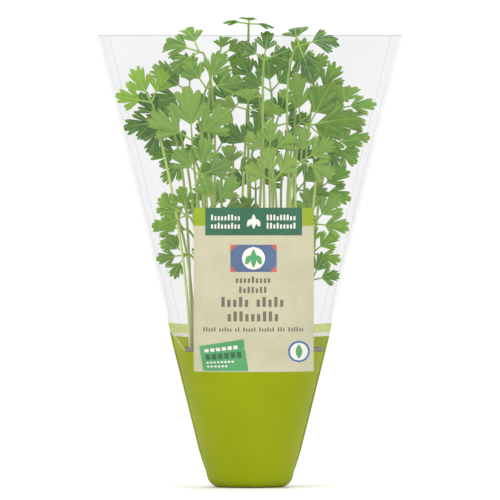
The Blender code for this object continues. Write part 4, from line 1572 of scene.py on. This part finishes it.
@dataclass(frozen=True)
class Label:
    """The printed label on the sleeve's front: a pale board, a dark header and rows of plain marks."""

    step: float = 0.05 * MM
    proud: float = 0.12 * MM
    ink_share: float = 0.9
    bar_pitch: float = 0.62
    bar_share: float = 0.56
    badge: tuple[tuple[float, float], ...] = ((-33.0, 83.2), (-1.1, 83.2), (-4.6, 105.8), (-35.9, 100.8))

    def marks(
        self,
        left: float,
        right: float,
        low: float,
        high: float,
        layer: int,
        seed: int,
        gaps: tuple[int, ...] = (),
    ) -> list[Patch]:
        """A row of upright bars that stands for a line of print, with no lettering.

        Args:
            left: the row's left edge in millimetres.
            right: its right edge.
            low: its lower edge.
            high: its upper edge.
            layer: the ink's layer.
            seed: chooses the bars' heights.
            gaps: numbers of the bars that are left out, as spaces between words.

        Returns:
            The bars.
        """
        draw = np.random.default_rng(seed)
        pitch = (high - low) * self.bar_pitch
        count = max(1, round((right - left) / pitch))
        pitch = (right - left) / count
        bars = []
        for index in range(count):
            tall = draw.choice((0.72, 0.72, 1.0))
            if index in gaps:
                continue
            start = left + index * pitch
            top = low + (high - low) * tall
            bars.append(Patch.box(start, start + self.bar_share * pitch, low, top, layer))
        return bars

    def on_badge(self, u0: float, u1: float, v0: float, v1: float) -> Patch:
        """A patch on the tilted badge.

        Args:
            u0: its left edge, as a share across the badge.
            u1: its right edge.
            v0: its lower edge, as a share up the badge.
            v1: its upper edge.

        Returns:
            The patch, blended from the badge's corners.
        """
        low_left, low_right, high_right, high_left = np.array(self.badge)
        corners = []
        for u, v in ((u0, v0), (u1, v0), (u1, v1), (u0, v1)):
            low = low_left + (low_right - low_left) * u
            high = high_left + (high_right - high_left) * u
            place = low + (high - low) * v
            corners.append((float(place[0]), float(place[1])))
        return Patch(tuple(corners), 2)

    def sprig(self, x: float, z: float, scale: float, layer: int) -> list[Patch]:
        """Three plain leaves that spread from one foot.

        Args:
            x: the middle's place across, in millimetres.
            z: the middle's height, in millimetres.
            scale: the size, with 1 for leaves 13 mm tall.
            layer: the ink's layer.

        Returns:
            The leaves.
        """
        leaves = (
            ((-2.2, -6.5), (2.2, -6.5), (2.2, 6.5), (-2.2, 6.5)),
            ((-7.1, -2.7), (-4.5, -5.9), (-0.9, 0.7), (-3.5, 3.5)),
            ((4.5, -5.9), (7.1, -2.7), (3.5, 3.5), (0.9, 0.7)),
        )
        patches = []
        for leaf in leaves:
            corners = tuple((x + scale * across, z + scale * up) for across, up in leaf)
            patches.append(Patch(corners, layer, Outline.LEAF))
        return patches

    def artwork(self) -> dict[str, tuple[PrintInk, list[Patch]]]:
        """Lays out the label.

        Returns:
            For each name of a piece, its ink and its patches.
        """
        box = Patch.box
        paper = PrintInk("printed_board_beige", "CAC6A7", "BEBA9B", 20.0, 0.9, 0.45, 0.5)
        header = PrintInk("printed_bottle_green", "2F6A4D", "296046")
        corner = PrintInk("printed_lime", "97AC1C", "8FA416")
        cream = PrintInk("printed_cream", "EFEEE4", "E4E3D6")
        brown = PrintInk("printed_umber", "78705E", "6C6453")
        badge = PrintInk("printed_leaf_green", "56A266", "4D975D")
        shadow = PrintInk("printed_pine", "2F6B45", "28603C")
        blue = PrintInk("printed_blue", "4268AE", "3B5FA3")
        red = PrintInk("printed_brick_red", "CC6650", "C25C47")
        slate = PrintInk("printed_slate_blue", "596F93", "4F6487")
        return {
            "paper": (paper, [box(-39.8, 45.1, 82.6, 198.5, 0)]),
            "header": (header, [box(-31.6, 36.8, 179.0, 198.5, 1)]),
            "corners": (corner, [box(-39.8, -31.6, 185.7, 198.5, 1), box(36.8, 45.1, 185.7, 198.5, 1)]),
            "header_marks": (
                cream,
                self.sprig(2.6, 188.8, 0.8, 2)
                + self.marks(-27.5, -6.2, 189.6, 193.6, 2, 3)
                + self.marks(-27.5, -6.2, 183.8, 187.8, 2, 11)
                + self.marks(11.8, 33.1, 189.6, 193.6, 2, 4)
                + self.marks(11.8, 33.1, 183.8, 187.8, 2, 5),
            ),
            "picture_field": (slate, [box(-13.8, 18.8, 153.2, 172.4, 1)]),
            "picture_disc": (cream, [box(-5.6, 10.6, 154.8, 170.8, 2, Outline.DISC)]),
            "picture_leaves": (badge, self.sprig(2.5, 162.9, 1.0, 3)),
            "picture_corners": (
                red,
                [
                    Patch(((-13.8, 153.2), (-9.2, 153.2), (-13.0, 157.4), (-13.8, 157.4)), 2),
                    Patch(((14.2, 153.2), (18.8, 153.2), (18.8, 157.4), (18.0, 157.4)), 2),
                    Patch(((-13.8, 168.2), (-13.0, 168.2), (-9.2, 172.4), (-13.8, 172.4)), 2),
                    Patch(((18.0, 168.2), (18.8, 168.2), (18.8, 172.4), (14.2, 172.4)), 2),
                ],
            ),
            "title": (
                brown,
                self.marks(-10.0, 15.4, 145.4, 150.0, 1, 6)
                + self.marks(-7.6, 12.8, 138.4, 142.8, 1, 7)
                + self.marks(-20.2, 25.4, 128.6, 135.6, 1, 8, (5,))
                + self.marks(-15.8, 21.6, 118.4, 125.4, 1, 9)
                + self.marks(-33.0, 38.4, 111.2, 114.2, 1, 10, (5, 11, 14, 20, 27, 31)),
            ),
            "badge": (badge, [Patch(self.badge, 1)]),
            "badge_marks": (
                cream,
                [self.on_badge(0.1 + 0.13 * i, 0.19 + 0.13 * i, 0.72, 0.84) for i in range(6)]
                + [self.on_badge(0.1 + 0.08 * i, 0.15 + 0.08 * i, 0.29, 0.35) for i in range(8)]
                + [self.on_badge(0.1 + 0.08 * i, 0.15 + 0.08 * i, 0.14, 0.20) for i in range(6)],
            ),
            "badge_title": (
                shadow,
                [self.on_badge(0.1 + 0.14 * i, 0.2 + 0.14 * i, 0.43, 0.63) for i in range(6)],
            ),
            "seal_edge": (blue, [box(26.9, 42.3, 89.2, 104.6, 1, Outline.DISC)]),
            "seal_field": (cream, [box(28.3, 40.9, 90.6, 103.2, 2, Outline.DISC)]),
            "seal_leaf": (badge, [box(32.3, 36.9, 91.8, 102.0, 3, Outline.LEAF)]),
        }

    def build(self) -> list[bpy.types.Object]:
        """Builds each ink of the label as thin patches that follow the film.

        Returns:
            One piece for each ink.
        """
        pieces = []
        for name, (ink, patches) in self.artwork().items():
            shape = Shape.empty()
            for patch in patches:
                x, z = (part * MM for part in patch.grid())
                y = -FORM.front(x, z) - self.proud - patch.layer * self.step
                front = np.stack((x, y, z), axis=-1)
                back = np.stack((x, y + self.step * self.ink_share, z), axis=-1)
                shape.add(*sheet_shell(front, back))
            piece = shape.build(f"label_{name}", [ink.material()], 40.0)
            pieces.append(piece)
        return pieces


# The compost.


@dataclass(frozen=True)
class Compost:
    """The top of the compost: a rough crowned disc over its plug, with loose crumbs and bark on it."""

    columns: int = 120
    rows: int = 46
    pole: float = 0.012
    lip_depth: float = 11 * MM
    wall: float = 3.0 * MM
    low_step: float = 6 * MM
    crumbs: int = 420
    crumb_sides: int = 7

    def edge(self) -> float:
        """Radius of the compost's top."""
        low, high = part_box("compost")
        return (high.x - low.x) / 2

    def surface(self, x: Array, y: Array) -> Array:
        """Height of the rough top: the crown plus noise from a centimetre down to a millimetre.

        Args:
            x: places across.
            y: places from front to back.

        Returns:
            The heights.
        """
        radius = np.hypot(x, y)
        places = np.stack((x, y), axis=-1)
        rough = 0.9 * fractal(places, 13 * MM, 5, 3) + 0.45 * fractal(places, 3.2 * MM, 6, 2)
        return FORM.ground(radius) - 0.7 * MM + rough * 0.55 * MM

    def build(self) -> list[bpy.types.Object]:
        """Builds the plug, whose rings run from the pot's floor up its wall and in over the top.

        Returns:
            The plug and its crumbs.
        """
        angles = 2 * math.pi * np.arange(self.columns) / self.columns
        edge = self.edge()
        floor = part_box("compost")[0].z
        radius = edge * np.linspace(self.pole, 1.0, self.rows)[::-1]
        x = radius[:, None] * np.cos(angles)
        y = radius[:, None] * np.sin(angles)
        top = np.stack((x, y, self.surface(x, y)), axis=-1)
        heights = np.array((floor, floor, FORM.foot_radius, FORM.rim_height - self.lip_depth))
        taper = FORM.pot_radius(heights) - self.wall
        taper[:2] = (self.pole * edge, taper[1] - self.low_step)
        side = np.stack(
            (
                taper[:, None] * np.cos(angles),
                taper[:, None] * np.sin(angles),
                np.broadcast_to(heights[:, None], (4, self.columns)),
            ),
            axis=-1,
        )
        rings = np.concatenate((side, top))
        cap = np.arange(self.columns)
        last = cap + (len(rings) - 1) * self.columns
        shape = Shape.empty()
        body = grid_quads(len(rings), self.columns, closed=True)
        shape.add(rings, [body, cap[None, ::-1], last[None]])
        material = CompostCrumb().material()
        plug = shape.build("compost_plug", [material], 80.0)
        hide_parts("compost")
        crumbs = self.loose().build("compost_crumbs", [material], 80.0)
        return [plug, crumbs]

    def loose(self) -> Shape:
        """Makes the crumbs: small round lumps, stretched, dented and turned at random.

        Returns:
            The shape that holds them all.
        """
        draw = np.random.default_rng(21)
        shape = Shape.empty()
        sides = self.crumb_sides
        around = 2 * math.pi * np.arange(sides) / sides
        down = np.array((0.25, 0.9, 1.6, 2.3, 2.9))[:, None]
        flat = (np.sin(down) * np.cos(around), np.sin(down) * np.sin(around))
        ball = np.stack((*flat, np.cos(down) * np.ones(sides)), axis=-1)[::-1]
        rings = len(ball)
        cap = np.arange(sides)
        top = cap + (rings - 1) * sides
        faces = [grid_quads(rings, sides, closed=True), cap[None, ::-1], top[None]]
        for _ in range(self.crumbs):
            radius = (self.edge() - 1.5 * MM) * math.sqrt(draw.uniform())
            angle = draw.uniform(0, 2 * math.pi)
            x, y = radius * math.cos(angle), radius * math.sin(angle)
            size = draw.uniform(0.4, 1.3) * MM
            size = size * np.array((draw.uniform(0.8, 2.2), 1.0, draw.uniform(0.4, 0.9)))
            lump = ball * (1 + 0.18 * draw.normal(size=(rings, sides, 1))) * size
            lump = turn(lump, np.array((0.0, 0.0, 1.0)), draw.uniform(0, math.pi))
            z = float(self.surface(np.array(x), np.array(y)))
            shape.add(lump + np.array((x, y, z)), faces)
        return shape


# The studio.


@dataclass(frozen=True)
class Studio:
    """A pale floor under soft light, and a distant camera that sees the pack's front almost square on."""

    view_width: float = 0.355
    middle: float = 0.1683
    distance: float = 8.0
    elevation: float = math.radians(0.5)
    sensor: float = 36.0
    backdrop: float = 1.06
    ambient: float = 0.70
    floor_radius: float = 0.9
    floor_sides: int = 96

    def camera(self) -> None:
        """Adds the camera."""
        data = bpy.data.cameras.new("camera")
        data.sensor_width = self.sensor
        data.lens = self.sensor * self.distance / self.view_width
        data.clip_end = 60.0
        camera = bpy.data.objects.new("camera", data)
        away = self.distance * math.cos(self.elevation)
        camera.location = (0.0, -away, self.middle + self.distance * math.sin(self.elevation))
        camera.rotation_euler = (math.pi / 2 - self.elevation, 0.0, 0.0)
        bpy.context.scene.collection.objects.link(camera)
        bpy.context.scene.camera = camera

    def lamp(self, name: str, place: tuple[float, float, float], size: float, power: float) -> None:
        """Adds one soft square lamp that looks at the middle of the pack.

        Args:
            name: its name.
            place: where it stands.
            size: length of its side.
            power: its power in watts.
        """
        data = bpy.data.lights.new(name, "AREA")
        data.size = size
        data.energy = power
        lamp = bpy.data.objects.new(name, data)
        lamp.location = place
        aim = np.array((0.0, 0.0, self.middle)) - np.array(place)
        flat = math.hypot(aim[0], aim[1])
        lamp.rotation_euler = (math.atan2(flat, -aim[2]), 0.0, math.atan2(aim[1], aim[0]) - math.pi / 2)
        bpy.context.scene.collection.objects.link(lamp)

    def floor(self) -> None:
        """Adds the round pale floor."""
        sides = self.floor_sides
        angles = 2 * math.pi * np.arange(sides) / sides
        ring = np.stack((np.cos(angles), np.sin(angles), np.zeros(sides)), axis=-1)
        radii = self.floor_radius * np.array((0.02, 0.25, 0.5, 0.75, 1.0))
        points = radii[:, None, None] * ring
        shape = Shape.empty()
        body = grid_quads(len(radii), sides, closed=True)[:, ::-1]
        shape.add(points, [body, np.arange(sides)[None]])
        finish = PrintInk("painted_studio_floor", "FBFBFA", "F7F7F6", 400.0, 60.0, 0.3, 0.7)
        floor = shape.build("studio_floor", [finish.material()])

    def build(self) -> None:
        """Sets the stage."""
        world = bpy.data.worlds.new("studio")
        world.use_nodes = True
        tree = world.node_tree
        seen = add_node(tree, Kind.RAY).outputs["Is Camera Ray"]
        wires = {"Value": seen, "To Min": self.ambient, "To Max": self.backdrop}
        strength = add_node(tree, Kind.RANGE, wires)
        wire(tree, tree.nodes["Background"], {"Color": linear("FFFFFF"), "Strength": strength})
        bpy.context.scene.world = world
        bpy.context.scene.view_settings.view_transform = "Standard"
        self.camera()
        self.floor()
        self.lamp("key", (-0.9, -1.6, 1.5), 1.0, 12.0)
        self.lamp("fill", (1.3, -1.4, 0.6), 1.2, 5.0)
        self.lamp("top", (0.0, -0.1, 2.4), 1.8, 24.0)
        self.lamp("rim", (0.4, 1.6, 1.2), 1.2, 8.0)


def main() -> None:
    """Builds the pack and its studio, and reports each piece."""
    logging.basicConfig(level=logging.INFO, format="%(name)s: %(message)s")
    sleeve = Sleeve().build()
    pieces = [sleeve, *Label().build(), *Compost().build(), *Parsley().build()]
    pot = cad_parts["pot"]
    pot.data.materials.clear()
    pot.data.materials.append(PotPlastic().material())
    for piece in pieces:
        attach(piece, "root")
    Studio().build()
    for piece in (*pieces, pot):
        LOG.info("%s: %d faces", piece.name, len(piece.data.polygons))


if __name__ == "__main__":
    main()
